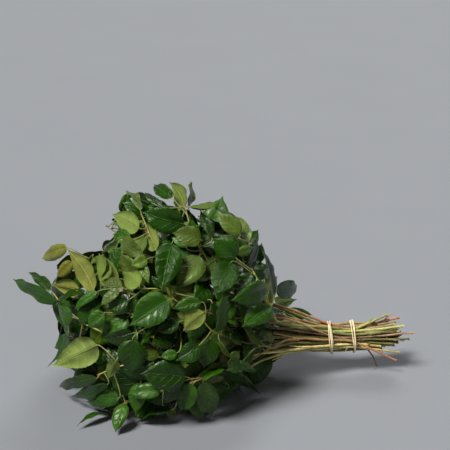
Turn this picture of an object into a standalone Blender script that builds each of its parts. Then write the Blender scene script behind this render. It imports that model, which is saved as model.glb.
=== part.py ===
"""A tied bunch of salal branches, lying on its side.

Fifty-six leafy stems are held by two rubber bands. Each stem is one grown piece: a woody stem
cut off clean at its lower end, with short leaf stalks and broad pointed leaves. The leafy head
lies to -X, and the bare stems run together to their cut ends at +X.

Metres, +Z up. The origin is under the middle of the bunch, on the surface that it lies on.

Leaves and stems that show in front are placed by hand, as named places in a picture of the
bunch, 450 by 450 pixels, seen from EYE. The rest follow a rule with a seeded draw. A leaf that
would touch another leaf or stem is turned, moved back or left out.
"""
import math

import bmesh
import bpy
import numpy as np
from mathutils import Matrix, Vector
from mathutils.bvhtree import BVHTree

# The eye that the picture was seen from, looking along +Y and down
EYE = np.array((0.025, -2.067, 1.047))
EYE_DROP = math.radians(20)
FOCAL_PIXELS = 1222
PICTURE_MIDDLE = 225

# The leafy head: an ellipsoid cut off by the floor
HEAD_MIDDLE = np.array((-0.090, 0.0, 0.130))
HEAD_RADII = np.array((0.230, 0.232, 0.225))
HEAD_REACH = 1.13
RIBBED_REACH = 0.78
FLOOR_ROOM = 0.007

# The bundle of bare stems: places that its axis goes through
BUNDLE_EXIT = np.array((0.105, -0.020, 0.096))
BUNDLE_TIES = (np.array((0.2215, 0.006, 0.0690)), np.array((0.2646, 0.014, 0.0660)))
BUNDLE_END = np.array((0.345, 0.030, 0.064))
EXIT_RADIUS = 0.056
END_RADIUS = 0.032
TIE_RADIUS = 0.022
END_SCATTER = 0.006
STEM_CROSSING = 0.45
LENGTH_SCATTER = (-0.038, 0.008)
FULL_SPREAD_AT = 0.11

# A hidden stem's tip: how far round from -X the last one lies, as one less its cosine, and how
# far out in the head the tips lie
FAN_REACH = 1.66
TIP_REACH = 0.80
TIP_FLOOR = 0.014
EXIT_AIM = 0.75

# Stems
STEM_COUNT = 56
STEM_RADIUS = (0.0022, 0.0034)
TWIG_RADIUS = 0.00125
HEAD_NODES = 5
BUNDLE_LENGTHS = 2
FIRST_HEAD_NODE = 4
GAP = 0.0005
# Rounds of settling: held to their own ways, drawn in at the ties, and only pushed apart
SETTLING = (240, 120, 140)
HOLD = (0.02, 0.0, 0.0, 0.01)
HEAD_HOLD = 0.04
SMOOTHING = 0.03
FIRST_PULL = 0.04
LAST_PULL = 0.008
NEIGHBOUR_REACH = 0.02
STEM_FLOOR = 0.002
LEAF_GAP = 0.0006
SEED = 20

# Leaves
BLADE_THICKNESS = 0.0008
STALK_WIDTH = 0.0017
STALK_THICKNESS = 0.0015
STALK_LENGTH = 0.009
LONG_STALK = 0.022
ROOT_DEPTH = 0.0007
LEAST_LEAD = -0.15
MOST_SIDEWAYS = 0.92
SMALL_LEAF = 0.055
LEAF_LENGTH = (0.078, 0.104)
LEAF_WIDTH = 0.58
BROADEST_AT = 0.385
BASE_FULLNESS = 0.60
LEAF_SPACING = 0.042
SPACING_SPREAD = (0.75, 1.15)
TIP_LEAN = (0.0, 0.6)
LEAN = (0.6, 1.5)
RISE = (-0.1, 0.3)
RULE_LIMIT = 228
LEAF_LIMIT = 292
FOLD = (0.15, 0.45)
RIPPLE = (0.006, 0.016)
ARCH = (0.02, 0.10)
MOST_BACK = 64
BACK_STEP = 4
SHOWN_REACH = 0.075
FILL_REACH = 0.045
ROOT_CHOICES = 14
BACKWARD_COST = 2.2
FILL_PLACES = 420
FILL_TRIES = 7
COVER_DEPTH = 0.13
RULE_TRIES = 18
TURNED_SHARE = 0.12
FACE_SCATTER = 0.28
LEAF_FLOOR = 0.004
FLOOR_PRESS = 0.006
# Leaves may spread beyond the head only where they lie on the floor
SKIRT_HEIGHT = 0.03
SKIRT_REACH = 1.25
TIPWARD = np.array((-0.20, 0.0, 0.0))
LIGHTWARD = np.array((0.0, 0.0, 0.25))
GOLDEN_TURN = math.pi * (3 - math.sqrt(5))
FULL_ROWS = (0.13, 0.42, 0.76)
PLAIN_ROWS = (0.17, 0.62)

# Edges sharper than this many degrees stay sharp in shading
SHARP_ANGLE = 40

# Rubber bands
BAND_WIDTH = 0.0044
BAND_THICKNESS = 0.0018
BAND_GAP = 0.0004
BAND_SLANT = 1.05
BAND_POINTS = 20
ROUND_SIDES = 24

# The head's outline in the picture
HEAD_OUTLINE = (
    (10, 281), (30, 268), (40, 255), (66, 245), (84, 262), (96, 249), (108, 240), (110, 213),
    (124, 188), (141, 200), (144, 190), (155, 182), (175, 179), (194, 179), (215, 188),
    (255, 206), (280, 262), (300, 270), (300, 300), (315, 318), (290, 330), (276, 345),
    (276, 368), (258, 388), (266, 398), (250, 397), (226, 390), (222, 408), (206, 420),
    (190, 420), (172, 412), (150, 421), (136, 423), (113, 435), (104, 424), (74, 429),
    (82, 402), (68, 400), (54, 390), (51, 370), (43, 370), (58, 330), (58, 310), (46, 300),
    (28, 297))

# Stems that show: the pixels that each passes in the head, from the bundle to its tip, with
# its depth in millimetres behind the head's front
SHOWN_STEMS = {
    "left sprig": ((215, 336, 90), (155, 338, 60), (101, 338, 20), (70, 321, 12), (53, 293, 10)),
    "yellow sprig": ((215, 310, 110), (160, 297, 70), (124, 291, 36), (98, 293, 16), (79, 291, 14)),
    "brown twig": ((232, 309, 80), (197, 298, 14), (166, 287, 12), (142, 289, 12), (120, 289, 12)),
    "upper left": ((225, 300, 120), (190, 280, 85), (165, 262, 45), (150, 240, 24), (142, 216, 18)),
    "top": ((235, 295, 130), (215, 275, 75), (203, 255, 30), (190, 232, 16), (185, 207, 14)),
    "top right": ((250, 300, 120), (246, 285, 80), (243, 265, 45), (241, 246, 24), (237, 229, 20)),
    "pale twig": ((240, 324, 50), (211, 315, 14), (188, 311, 10), (172, 300, 10), (161, 284, 10)),
    "forked twig": ((246, 346, 55), (224, 340, 12), (209, 329, 10), (203, 319, 12), (191, 316, 16)),
    "low twig": ((252, 361, 55), (232, 371, 20), (217, 371, 10), (203, 379, 10), (193, 382, 8)),
    "low left": ((228, 360, 100), (182, 366, 70), (142, 360, 36), (118, 363, 16), (100, 374, 14)),
    "bottom left": ((232, 376, 80), (190, 386, 50), (156, 393, 24), (130, 399, 14), (115, 408, 10)),
    "middle left": ((220, 325, 100), (175, 322, 55), (146, 317, 34), (126, 311, 22), (107, 313, 12)),
    "right": ((266, 312, 60), (268, 303, 30), (266, 292, 18), (259, 281, 16), (253, 271, 16)),
    "lower right": ((265, 345, 34), (259, 345, 20), (252, 350, 16), (246, 357, 14), (240, 364, 12)),
}

# Where the cut ends of some of them show, on the bundle's own depth
SHOWN_ENDS = {
    "pale twig": (410, 328), "forked twig": (407, 333), "left sprig": (400, 345),
    "low twig": (394, 352), "lower right": (385, 355), "top right": (388, 312), "upper left": (374, 317),
}

# A bare side twig under the bundle that reaches the floor: its start on a stem, and its end
PROP_TWIG = ((368, 353), (378, 372))
PROP_RADIUS = 0.0014

# Leaves that show: the pixels of tip and base, the depth of each in millimetres behind the
# head's front, the blade's width in millimetres, its turn about its own length in degrees
# (0 shows the upper face, 180 the lower) and its arch as a share of its length
SHOWN_LEAVES = {
    "far left": ((12, 279), (57, 302), (0, 8), 30, -38, 0.05),
    "left behind": ((28, 271), (50, 291), (16, 16), 22, 35, 0.05),
    "left edge on": ((50, 308), (85, 292), (2, 10), 26, 72, 0.10),
    "left drooping": ((45, 368), (68, 322), (0, 8), 22, 55, -0.12),
    "yellow high": ((41, 259), (67, 248), (12, 12), 28, 20, 0.05),
    "yellow long": ((67, 248), (94, 290), (0, 10), 34, 160, 0.06),
    "yellow low": ((52, 285), (80, 290), (10, 14), 34, 150, 0.05),
    "shade behind yellow": ((56, 278), (72, 262), (30, 30), 24, 15, 0.03),
    "curled spike": ((102, 252), (101, 278), (2, 8), 20, 78, 0.22),
    "green narrow": ((74, 310), (97, 292), (4, 8), 18, 30, 0.06),
    "green round": ((87, 327), (104, 313), (0, 6), 30, 8, 0.06),
    "olive pointed": ((100, 306), (119, 289), (0, 6), 20, 30, 0.05),
    "dark above olive": ((100, 280), (122, 287), (14, 18), 26, 40, 0.05),
    "pale high": ((112, 214), (139, 228), (0, 12), 38, 165, 0.05),
    "olive spike": ((126, 190), (140, 210), (8, 12), 22, 52, 0.05),
    "brown olive": ((145, 257), (122, 240), (10, 16), 30, 20, 0.05),
    "dark corner": ((121, 279), (112, 242), (10, 16), 30, 15, 0.05),
    "olive ribbed": ((141, 220), (156, 250), (6, 12), 32, 150, 0.05),
    "big glossy top": ((141, 212), (184, 224), (-6, 6), 48, -20, 0.08),
    "dark narrow top": ((145, 192), (160, 207), (14, 18), 26, 55, 0.04),
    "glossy top": ((154, 184), (172, 198), (12, 16), 26, 15, 0.05),
    "olive top": ((170, 182), (184, 208), (8, 12), 34, 150, 0.05),
    "olive narrow top": ((191, 181), (188, 205), (12, 15), 24, 65, 0.05),
    "olive below top": ((172, 233), (201, 240), (4, 10), 36, 15, 0.05),
    "large glossy": ((162, 291), (172, 243), (-2, 8), 46, -10, 0.07),
    "light small": ((131, 266), (147, 259), (4, 10), 22, 10, 0.03),
    "light round": ((123, 271), (139, 286), (0, 4), 34, 170, 0.07),
    "light narrow": ((149, 284), (141, 264), (6, 8), 18, 12, 0.04),
    "white edge": ((151, 275), (160, 287), (0, 3), 12, -20, 0.05),
    "twisted olive": ((160, 272), (173, 300), (0, 4), 18, 62, 0.06),
    "shaded big": ((177, 289), (199, 256), (30, 34), 48, 20, 0.05),
    "dark narrow right": ((200, 209), (212, 238), (16, 20), 24, 45, 0.05),
    "green olive right": ((216, 213), (240, 234), (10, 15), 32, 15, 0.05),
    "dark olive right": ((236, 215), (249, 241), (18, 22), 26, 10, 0.05),
    "glossy right": ((213, 238), (236, 258), (2, 10), 42, -12, 0.06),
    "ribbed dark": ((215, 297), (231, 262), (0, 8), 46, 4, 0.05),
    "light right": ((254, 247), (237, 253), (8, 10), 18, 10, 0.05),
    "narrow right": ((258, 236), (243, 275), (8, 10), 24, 52, 0.05),
    "big glossy right": ((231, 301), (267, 288), (-2, 8), 42, -15, 0.08),
    "small dark right": ((254, 269), (264, 279), (14, 14), 16, 10, 0.03),
    "dark right": ((233, 297), (251, 274), (18, 20), 32, 10, 0.05),
    "ribbed right": ((242, 327), (271, 306), (0, 10), 38, 10, 0.05),
    "broad low right": ((254, 374), (258, 331), (2, 14), 52, 6, 0.05),
    "dark low right": ((250, 388), (266, 352), (10, 18), 42, -15, 0.05),
    "big ribbed": ((129, 326), (168, 300), (-6, 6), 50, 4, 0.06),
    "dark middle left": ((107, 310), (128, 300), (6, 8), 36, 8, 0.06),
    "highlight fold": ((102, 338), (133, 333), (0, 6), 30, -30, 0.10),
    "dark large": ((131, 375), (132, 340), (6, 10), 48, 8, 0.06),
    "olive fold": ((136, 344), (159, 357), (2, 6), 28, 25, 0.05),
    "pale curl": ((183, 331), (204, 312), (0, 4), 32, 165, 0.16),
    "pale small": ((176, 313), (191, 317), (4, 5), 16, 160, 0.05),
    "folded dark": ((204, 369), (210, 339), (10, 14), 38, -10, 0.05),
    "glossy middle": ((176, 361), (199, 345), (0, 6), 34, -15, 0.08),
    "olive on twig": ((234, 361), (220, 341), (0, 2), 20, 60, 0.05),
    "glossy low right": ((226, 371), (240, 361), (0, 6), 26, -25, 0.12),
    "green low right": ((257, 371), (238, 361), (4, 8), 20, 40, 0.10),
    "olive small": ((240, 351), (231, 359), (4, 5), 18, 10, 0.05),
    "dark under twig": ((155, 331), (179, 322), (12, 14), 26, 15, 0.05),
    "green under twig": ((172, 309), (201, 302), (8, 9), 24, 10, 0.05),
    "olive beside twig": ((186, 305), (203, 310), (3, 6), 12, 20, 0.05),
    "green tag": ((160, 357), (177, 353), (4, 8), 18, 10, 0.04),
    "dark tag": ((141, 365), (154, 360), (8, 9), 20, 10, 0.04),
    "big dark": ((140, 374), (186, 377), (-4, 8), 54, -12, 0.06),
    "big pale": ((53, 366), (97, 345), (0, 8), 52, 178, 0.05),
    "small pale": ((108, 379), (116, 361), (0, 4), 22, 170, 0.05),
    "dark foot": ((57, 388), (97, 378), (4, 10), 24, -20, 0.06),
    "glossy foot": ((70, 397), (108, 384), (0, 8), 24, -30, 0.06),
    "foot": ((85, 402), (119, 398), (0, 6), 30, 8, 0.06),
    "arched foot": ((76, 427), (110, 414), (0, 2), 18, 68, 0.16),
    "folded foot": ((115, 433), (124, 403), (0, 4), 28, 25, 0.06),
    "green foot": ((127, 394), (161, 390), (0, 6), 28, 12, 0.06),
    "white rim foot": ((163, 404), (178, 384), (4, 8), 26, -30, 0.08),
    "hanging green": ((180, 412), (193, 384), (0, 4), 36, 8, 0.06),
    "hanging broad": ((212, 417), (203, 382), (0, 5), 38, -8, 0.06),
    "hanging low": ((203, 420), (192, 400), (6, 8), 26, 15, 0.06),
    "narrow foot": ((138, 421), (172, 410), (2, 4), 22, 55, 0.14),
    "olive foot": ((178, 415), (166, 410), (6, 8), 16, 10, 0.05),
    "long drooping": ((262, 397), (217, 374), (0, 3), 26, 48, -0.10),
    "olive at bundle": ((262, 337), (273, 338), (4, 6), 16, 10, 0.05),
    "behind bundle high": ((299, 285), (276, 290), (150, 130), 36, 15, 0.05),
    "behind bundle pale": ((296, 300), (276, 304), (140, 125), 26, 170, 0.05),
    "behind bundle low": ((313, 315), (285, 312), (130, 125), 24, 10, 0.05),
}


def unit(vector):
    """A vector's direction."""
    return vector / max(float(np.linalg.norm(vector)), 1e-9)


def side_of(vector, direction):
    """What is left of a vector across a direction, at unit length."""
    return unit(vector - direction * float(np.dot(vector, direction)))


def turned(vector, axis, angle):
    """A vector turned about an axis."""
    cosine = math.cos(angle)
    sine = math.sin(angle)
    return vector * cosine + np.cross(axis, vector) * sine + axis * np.dot(axis, vector) * (1 - cosine)


# Places in the picture

def sight(px, py):
    """The direction from the eye through a pixel."""
    right = np.array((1.0, 0.0, 0.0))
    up = np.array((0.0, math.sin(EYE_DROP), math.cos(EYE_DROP)))
    ahead = np.array((0.0, math.cos(EYE_DROP), -math.sin(EYE_DROP)))
    across = (px - PICTURE_MIDDLE) / FOCAL_PIXELS
    down = (py - PICTURE_MIDDLE) / FOCAL_PIXELS
    return unit(ahead + across * right - down * up)


def seen_place(px, py, deep):
    """The place that shows at a pixel, so many millimetres behind the head's front."""
    line = sight(px, py)
    start = (EYE - HEAD_MIDDLE) / HEAD_RADII
    step = line / HEAD_RADII
    a = float(step @ step)
    b = float(start @ step)
    c = float(start @ start) - 1
    far = (-b - math.sqrt(max(b * b - a * c, 0.0))) / a + deep * 0.001
    floor = (FLOOR_ROOM - EYE[2]) / line[2]
    return EYE + line * min(far, floor)


def place_at_depth(px, py, y):
    """The place that shows at a pixel, so far along Y."""
    line = sight(px, py)
    return EYE + line * ((y - EYE[1]) / line[1])


def pixel_of(places):
    """The pixels at which places show, one row each."""
    up = np.array((0.0, math.sin(EYE_DROP), math.cos(EYE_DROP)))
    ahead = np.array((0.0, math.cos(EYE_DROP), -math.sin(EYE_DROP)))
    off = np.atleast_2d(places) - EYE
    scale = FOCAL_PIXELS / (off @ ahead)
    return np.stack((PICTURE_MIDDLE + off[:, 0] * scale, PICTURE_MIDDLE - (off @ up) * scale), axis=1)


def inside_outline(pixels):
    """Whether every pixel lies in the head's outline, by counting the edges it is left of."""
    corners = np.array(HEAD_OUTLINE, dtype=float)
    nexts = np.roll(corners, -1, axis=0)
    for px, py in pixels:
        spans = (corners[:, 1] > py) != (nexts[:, 1] > py)
        rise = np.where(spans, nexts[:, 1] - corners[:, 1], 1.0)
        cross = corners[:, 0] + (py - corners[:, 1]) * (nexts[:, 0] - corners[:, 0]) / rise
        if np.count_nonzero(spans & (px < cross)) % 2 == 0:
            return False
    return True


# Stems

def bundle_axis(x):
    """The middle of the bundle at a distance along X."""
    stops = (BUNDLE_EXIT, *BUNDLE_TIES, BUNDLE_END)
    along = [stop[0] for stop in stops]
    y = np.interp(x, along, [stop[1] for stop in stops])
    z = np.interp(x, along, [stop[2] for stop in stops])
    return np.array((x, y, z))


def head_path_by_rule(index, count):
    """The places a hidden stem passes in the head: out from the bundle towards its own tip."""
    share = (index + 0.5) / count
    fan = math.acos(1 - FAN_REACH * share)
    spin = index * GOLDEN_TURN
    ring = np.array((-math.cos(fan), math.sin(fan) * math.cos(spin), math.sin(fan) * math.sin(spin)))
    tip = HEAD_MIDDLE + TIP_REACH * HEAD_RADII * ring
    tip[2] = max(tip[2], TIP_FLOOR)
    way = unit(tip - BUNDLE_EXIT)
    leave = BUNDLE_EXIT + EXIT_RADIUS * 0.9 * np.array((0.0, way[1], way[2]))
    reach = float(np.linalg.norm(tip - leave))
    bend = leave + 0.5 * reach * unit(np.array((-EXIT_AIM, 0.0, 0.0)) + EXIT_AIM * way)
    places = []
    for step in range(1, HEAD_NODES + 1):
        t = step / HEAD_NODES
        places.append((1 - t) ** 2 * leave + 2 * t * (1 - t) * bend + t * t * tip)
    return places


def stem_targets(draw):
    """Where each stem would run if no other were in its way, and its radius at each node."""
    heads = [[seen_place(*stop) for stop in stops] for stops in SHOWN_STEMS.values()]
    hidden = STEM_COUNT - len(heads)
    heads += [head_path_by_rule(index, hidden) for index in range(hidden)]
    ends = {place: SHOWN_ENDS[name] for place, name in enumerate(SHOWN_STEMS) if name in SHOWN_ENDS}
    targets = []
    radii = []
    for place, head in enumerate(heads):
        aim = head[1] - bundle_axis(BUNDLE_EXIT[0])
        around = unit(np.array((0.0, aim[1], aim[2])))
        spread = min(1.0, math.hypot(aim[1], aim[2]) / FULL_SPREAD_AT) * draw.uniform(0.75, 1.0)
        thick = draw.uniform(*STEM_RADIUS)
        end_x = BUNDLE_END[0] + draw.uniform(*LENGTH_SCATTER)
        scatter = np.array((0.0, draw.normal(0, END_SCATTER), draw.normal(0, END_SCATTER)))
        ahead = np.array((1.0, 0.0, 0.0))
        cross = draw.normal(0, STEM_CROSSING)
        path = [bundle_axis(end_x) + END_RADIUS * spread * turned(around, ahead, cross) + scatter]
        if place in ends:
            path = [place_at_depth(*ends[place], BUNDLE_END[1] - 0.01)]
        for tie, share in zip(reversed(BUNDLE_TIES), (0.5, 0.0)):
            path.append(tie + TIE_RADIUS * spread * turned(around, ahead, share * cross))
        path.append(BUNDLE_EXIT + EXIT_RADIUS * spread * turned(around, ahead, -0.5 * cross))
        path += head
        targets.append(path)
        taper = [thick, thick, thick, 0.95 * thick]
        taper += list(np.linspace(0.85 * thick, TWIG_RADIUS, HEAD_NODES))
        radii.append(taper)
    return np.array(targets), np.array(radii)


def closest_shares(a0, a1, b0, b1):
    """How far along each of two rods, from 0 to 1, they come closest."""
    da = a1 - a0
    db = b1 - b0
    off = a0 - b0
    aa = np.sum(da * da, axis=1) + 1e-12
    bb = np.sum(db * db, axis=1) + 1e-12
    ab = np.sum(da * db, axis=1)
    ao = np.sum(da * off, axis=1)
    bo = np.sum(db * off, axis=1)
    s = np.clip((ab * bo - ao * bb) / np.maximum(aa * bb - ab * ab, 1e-12), 0, 1)
    t = np.clip((ab * s + bo) / bb, 0, 1)
    s = np.clip((ab * t - ao) / aa, 0, 1)
    return s, t


def push_apart(stems, radii, pairs, draw):
    """Move stems off each other wherever two are closer than their gap."""
    segments = stems.shape[1] - 1
    a, b = pairs
    ia, ka = a // segments, a % segments
    ib, kb = b // segments, b % segments
    s, t = closest_shares(stems[ia, ka], stems[ia, ka + 1], stems[ib, kb], stems[ib, kb + 1])
    pa = stems[ia, ka] * (1 - s)[:, None] + stems[ia, ka + 1] * s[:, None]
    pb = stems[ib, kb] * (1 - t)[:, None] + stems[ib, kb + 1] * t[:, None]
    ra = radii[ia, ka] * (1 - s) + radii[ia, ka + 1] * s
    rb = radii[ib, kb] * (1 - t) + radii[ib, kb + 1] * t
    off = pa - pb
    far = np.linalg.norm(off, axis=1)
    # Where both run along the bundle, their square sections stand on edge, and meet flat to flat
    bundled = (ka < BUNDLE_LENGTHS) & (kb < BUNDLE_LENGTHS)
    across = np.hypot(off[:, 1], off[:, 2]) + 1e-9
    section = np.where(bundled, np.maximum(np.abs(off[:, 1]), np.abs(off[:, 2])) / across, 1.0)
    lack = (ra + rb) * section + GAP - far
    near = lack > 0
    way = off + draw.normal(0, 1e-5, off.shape)
    way /= np.linalg.norm(way, axis=1)[:, None]
    push = way * (0.5 * np.maximum(lack, 0))[:, None]
    moves = np.zeros_like(stems)
    counts = np.zeros(stems.shape[:2])
    ends = ((ia, ka, 1 - s, 1), (ia, ka + 1, s, 1), (ib, kb, 1 - t, -1), (ib, kb + 1, t, -1))
    for who, node, share, sign in ends:
        np.add.at(moves, (who[near], node[near]), sign * push[near] * share[near][:, None])
        np.add.at(counts, (who[near], node[near]), share[near] ** 2)
    moves /= np.maximum(counts, 0.5)[:, :, None]
    moves[:, 1:3, 0] = 0
    stems += moves


def near_pairs(stems, reach):
    """The pairs of stem lengths, on different stems, that could come within reach."""
    count, nodes, _ = stems.shape
    segments = nodes - 1
    middles = ((stems[:, 1:] + stems[:, :-1]) / 2).reshape(-1, 3)
    halves = (np.linalg.norm(stems[:, 1:] - stems[:, :-1], axis=2) / 2).reshape(-1)
    far = np.linalg.norm(middles[:, None, :] - middles[None, :, :], axis=2)
    owner = np.repeat(np.arange(count), segments)
    apart = owner[:, None] < owner[None, :]
    close = far < halves[:, None] + halves[None, :] + reach
    return np.nonzero(apart & close)


def settled_stems():
    """Every stem's nodes, drawn in at the ties and clear of each other, and their radii."""
    draw = np.random.default_rng(SEED)
    targets, radii = stem_targets(draw)
    stems = targets.copy()
    ties = np.array([BUNDLE_TIES[1], BUNDLE_TIES[0]])
    hold = np.full(stems.shape[1], HEAD_HOLD)
    hold[:FIRST_HEAD_NODE] = HOLD
    for turn in range(sum(SETTLING)):
        if turn % 10 == 0:
            pairs = near_pairs(stems, NEIGHBOUR_REACH)
        if turn < SETTLING[0]:
            stems += (targets - stems) * hold[None, :, None]
            middles = (stems[:, 2:-2] + stems[:, 4:]) / 2
            stems[:, 3:-1] += (middles - stems[:, 3:-1]) * SMOOTHING
            stems[:, 1:3] += (ties[None] - stems[:, 1:3]) * FIRST_PULL
        elif turn < SETTLING[0] + SETTLING[1]:
            stems[:, 1:3] += (ties[None] - stems[:, 1:3]) * LAST_PULL
        push_apart(stems, radii, pairs, draw)
        stems[:, 1:3, 0] = ties[None, :, 0]
        lowest = radii[:, FIRST_HEAD_NODE:] + STEM_FLOOR
        stems[:, FIRST_HEAD_NODE:, 2] = np.maximum(stems[:, FIRST_HEAD_NODE:, 2], lowest)
    return stems, radii


# Leaves

def half_outline(u):
    """Half the blade's width along it, as a share of its greatest: broad low down, drawn out
    to a point."""
    u = np.clip(u, 0.0, 1.0)
    high = BASE_FULLNESS * (1 - BROADEST_AT) / BROADEST_AT
    return (u / BROADEST_AT) ** BASE_FULLNESS * ((1 - u) / (1 - BROADEST_AT)) ** high


class Leaf:
    """A blade on its stalk. The stalk's places run from inside the stem to the blade's base."""

    def __init__(self, stalk, tip, face, wide, arch, fold, ripple, phase):
        self.stalk = [stalk[0] - ROOT_DEPTH * unit(stalk[1] - stalk[0]), stalk[1]]
        self.long_stalk = float(np.linalg.norm(stalk[1] - stalk[0])) > LONG_STALK
        self.tip = tip
        self.wide = wide
        self.arch = arch
        self.fold = fold
        self.ripple = ripple
        self.phase = phase
        self.length = float(np.linalg.norm(tip - stalk[-1]))
        self.along = unit(tip - stalk[-1])
        self.up = side_of(face, self.along)
        self.across = np.cross(self.up, self.along)

    def places(self, u, v):
        """Places on the blade: u runs from base to tip, v from -1 to 1 across."""
        half = 0.5 * self.wide * half_outline(u)
        edge = np.abs(v)
        lift = self.arch * self.length * np.sin(math.pi * u)
        lift = lift + half * (self.fold * edge - 0.6 * self.fold * edge ** 3)
        wave = np.sin(2 * math.pi * (1.6 * u + self.phase) + 1.3 * np.sign(v))
        lift = lift + self.ripple * self.length * wave * edge ** 1.5 * np.sin(math.pi * u)
        out = self.stalk[-1] + np.multiply.outer(self.length * u, self.along)
        out = out + np.multiply.outer(half * v, self.across)
        return out + np.multiply.outer(lift, self.up)


def blade_rows(leaf, stops, ribbed, room):
    """Rows of places down the leaf, stalk first, each with its upward offset."""
    ahead = unit(leaf.stalk[1] - leaf.stalk[0])
    lifted = leaf.up * (BLADE_THICKNESS / 2 + room)
    bent = lifted
    if leaf.long_stalk:
        up = leaf.up if abs(float(leaf.up @ ahead)) < 0.7 else side_of(leaf.along, ahead)
        across = unit(np.cross(up, ahead)) * (STALK_WIDTH / 2 + room)
        thick = up * (STALK_THICKNESS / 2 + room)
        rows = [([place - across, place + across], thick) for place in leaf.stalk]
    else:
        first = leaf.places(np.array(stops[:1]), np.zeros(1))[0]
        up = unit(np.cross(unit(first - leaf.stalk[0]), leaf.across))
        rows = [([leaf.stalk[0]], up * (STALK_THICKNESS / 2 + room))]
        middle = unit(up + leaf.up)
        bent = middle * (BLADE_THICKNESS / 2 + room) / max(float(middle @ leaf.up), 0.5)
    marks = np.array((-1.0, 0.0, 1.0)) if ribbed else np.array((-1.0, 1.0))
    for stop in stops:
        row = leaf.places(np.full(len(marks), stop), marks)
        row = row + np.multiply.outer(marks * room, leaf.across)
        rows.append((list(row), bent if stop == stops[0] else lifted))
    rows.append(([leaf.tip + leaf.along * room], lifted))
    return rows


def well_hung(leaf):
    """Whether the blade leads away from its root without doubling back over its stalk."""
    first = leaf.places(np.array((PLAIN_ROWS[0],)), np.zeros(1))[0]
    lead = unit(first - leaf.stalk[0])
    sideways = abs(float(lead @ leaf.across))
    return float(lead @ leaf.along) > LEAST_LEAD and sideways < MOST_SIDEWAYS


def on_floor(one, other):
    """Two places through a blade's thickness, flattened on the floor where they reach below it."""
    if one[2] > other[2]:
        other, one = on_floor(other, one)
        return one, other
    if one[2] < 0:
        one = np.array((one[0], one[1], 0.0))
        other = np.array((other[0], other[1], max(other[2], BLADE_THICKNESS)))
    return one, other


def blade_shape(leaf, stops, ribbed=True, room=0.0):
    """A closed blade: the rows joined above and below, with a wall round the edge."""
    rows = blade_rows(leaf, stops, ribbed, room)
    upper = []
    lower = []
    index_rows = []
    for row, offset in rows:
        index_rows.append(list(range(len(upper), len(upper) + len(row))))
        for place in row:
            above, below = on_floor(place + offset, place - offset)
            upper.append(above)
            lower.append(below)
    count = len(upper)
    faces = []
    for near, far in zip(index_rows[:-1], index_rows[1:]):
        faces += joined_rows(near, far)
    below = [tuple(count + corner for corner in reversed(face)) for face in faces]
    left = [row[0] for row in index_rows]
    right = [row[-1] for row in index_rows]
    rim = left + right[-2::-1] if len(index_rows[0]) > 1 else left + right[-2:0:-1]
    walls = []
    for here, there in zip(rim, rim[1:] + rim[:1]):
        walls.append((there, here, count + here))
        walls.append((there, count + here, count + there))
    return upper + lower, faces + below + walls


def joined_rows(near, far):
    """Triangles between two rows of one, two or three places, the same on both faces."""
    if len(near) == 1:
        return [(a, b, near[0]) for a, b in zip(far[:-1], far[1:])]
    if len(near) == 2 and len(far) == 3:
        return [(far[0], far[1], near[0]), (far[1], near[1], near[0]), (far[1], far[2], near[1])]
    if len(far) == 1:
        return [(far[0], b, a) for a, b in zip(near[:-1], near[1:])]
    faces = []
    middle = (len(near) - 1) / 2
    for place in range(len(near) - 1):
        a, b, c, d = near[place], near[place + 1], far[place + 1], far[place]
        if place < middle:
            faces += [(c, b, a), (d, c, a)]
        else:
            faces += [(d, b, a), (d, c, b)]
    return faces


class Growth:
    """What has been placed so far, and the test that a new leaf is clear of it."""

    def __init__(self, stems, radii):
        self.stems = stems
        self.radii = radii
        self.leaves = []
        self.trees = []
        self.lows = []
        self.highs = []
        self.stem_trees = [rod_tree(path, size) for path, size in zip(stems, radii)]
        self.stem_lows = stems.min(axis=1) - 0.005
        self.stem_highs = stems.max(axis=1) + 0.005
        self.shown = []

    def clear(self, owner, shape):
        """Whether a shape with its room round it touches nothing, itself included."""
        corners = np.array(shape[0])
        low = corners.min(axis=0)
        high = corners.max(axis=0)
        tree = BVHTree.FromPolygons(shape[0], shape[1])
        if any(not set(shape[1][a]) & set(shape[1][b]) for a, b in tree.overlap(tree)):
            return False
        near = np.all((self.stem_lows <= high) & (self.stem_highs >= low), axis=1)
        for other in np.nonzero(near)[0]:
            if other != owner and tree.overlap(self.stem_trees[other]):
                return False
        if self.trees:
            near = np.all((np.array(self.lows) <= high) & (np.array(self.highs) >= low), axis=1)
            for other in np.nonzero(near)[0]:
                if tree.overlap(self.trees[other]):
                    return False
        return True

    def add(self, owner, leaf, stops, ribbed, shown):
        """Keep a leaf."""
        shape = blade_shape(leaf, stops, ribbed)
        corners = np.array(shape[0])
        self.leaves.append((owner, leaf, stops, ribbed))
        self.trees.append(BVHTree.FromPolygons(shape[0], shape[1]))
        self.lows.append(corners.min(axis=0))
        self.highs.append(corners.max(axis=0))
        if shown:
            self.shown.append(self.trees[-1])

    def covers(self, place, way):
        """Whether some leaf lies close along a line."""
        start = Vector(place)
        line = Vector(way)
        return any(tree.ray_cast(start, line, COVER_DEPTH)[0] is not None for tree in self.trees)

    def hides_shown(self, leaf):
        """Whether a leaf would stand before one that is meant to show."""
        marks = ((0.15, 0.0), (0.4, -0.7), (0.4, 0.7), (0.5, 0.0), (0.75, -0.5), (0.75, 0.5), (0.97, 0.0))
        hits = 0
        for u, v in marks:
            place = leaf.places(np.array([u]), np.array([v]))[0]
            away = unit(place - EYE)
            if any(tree.ray_cast(Vector(place), Vector(away))[0] is not None for tree in self.shown):
                hits += 1
        return hits > 0


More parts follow.
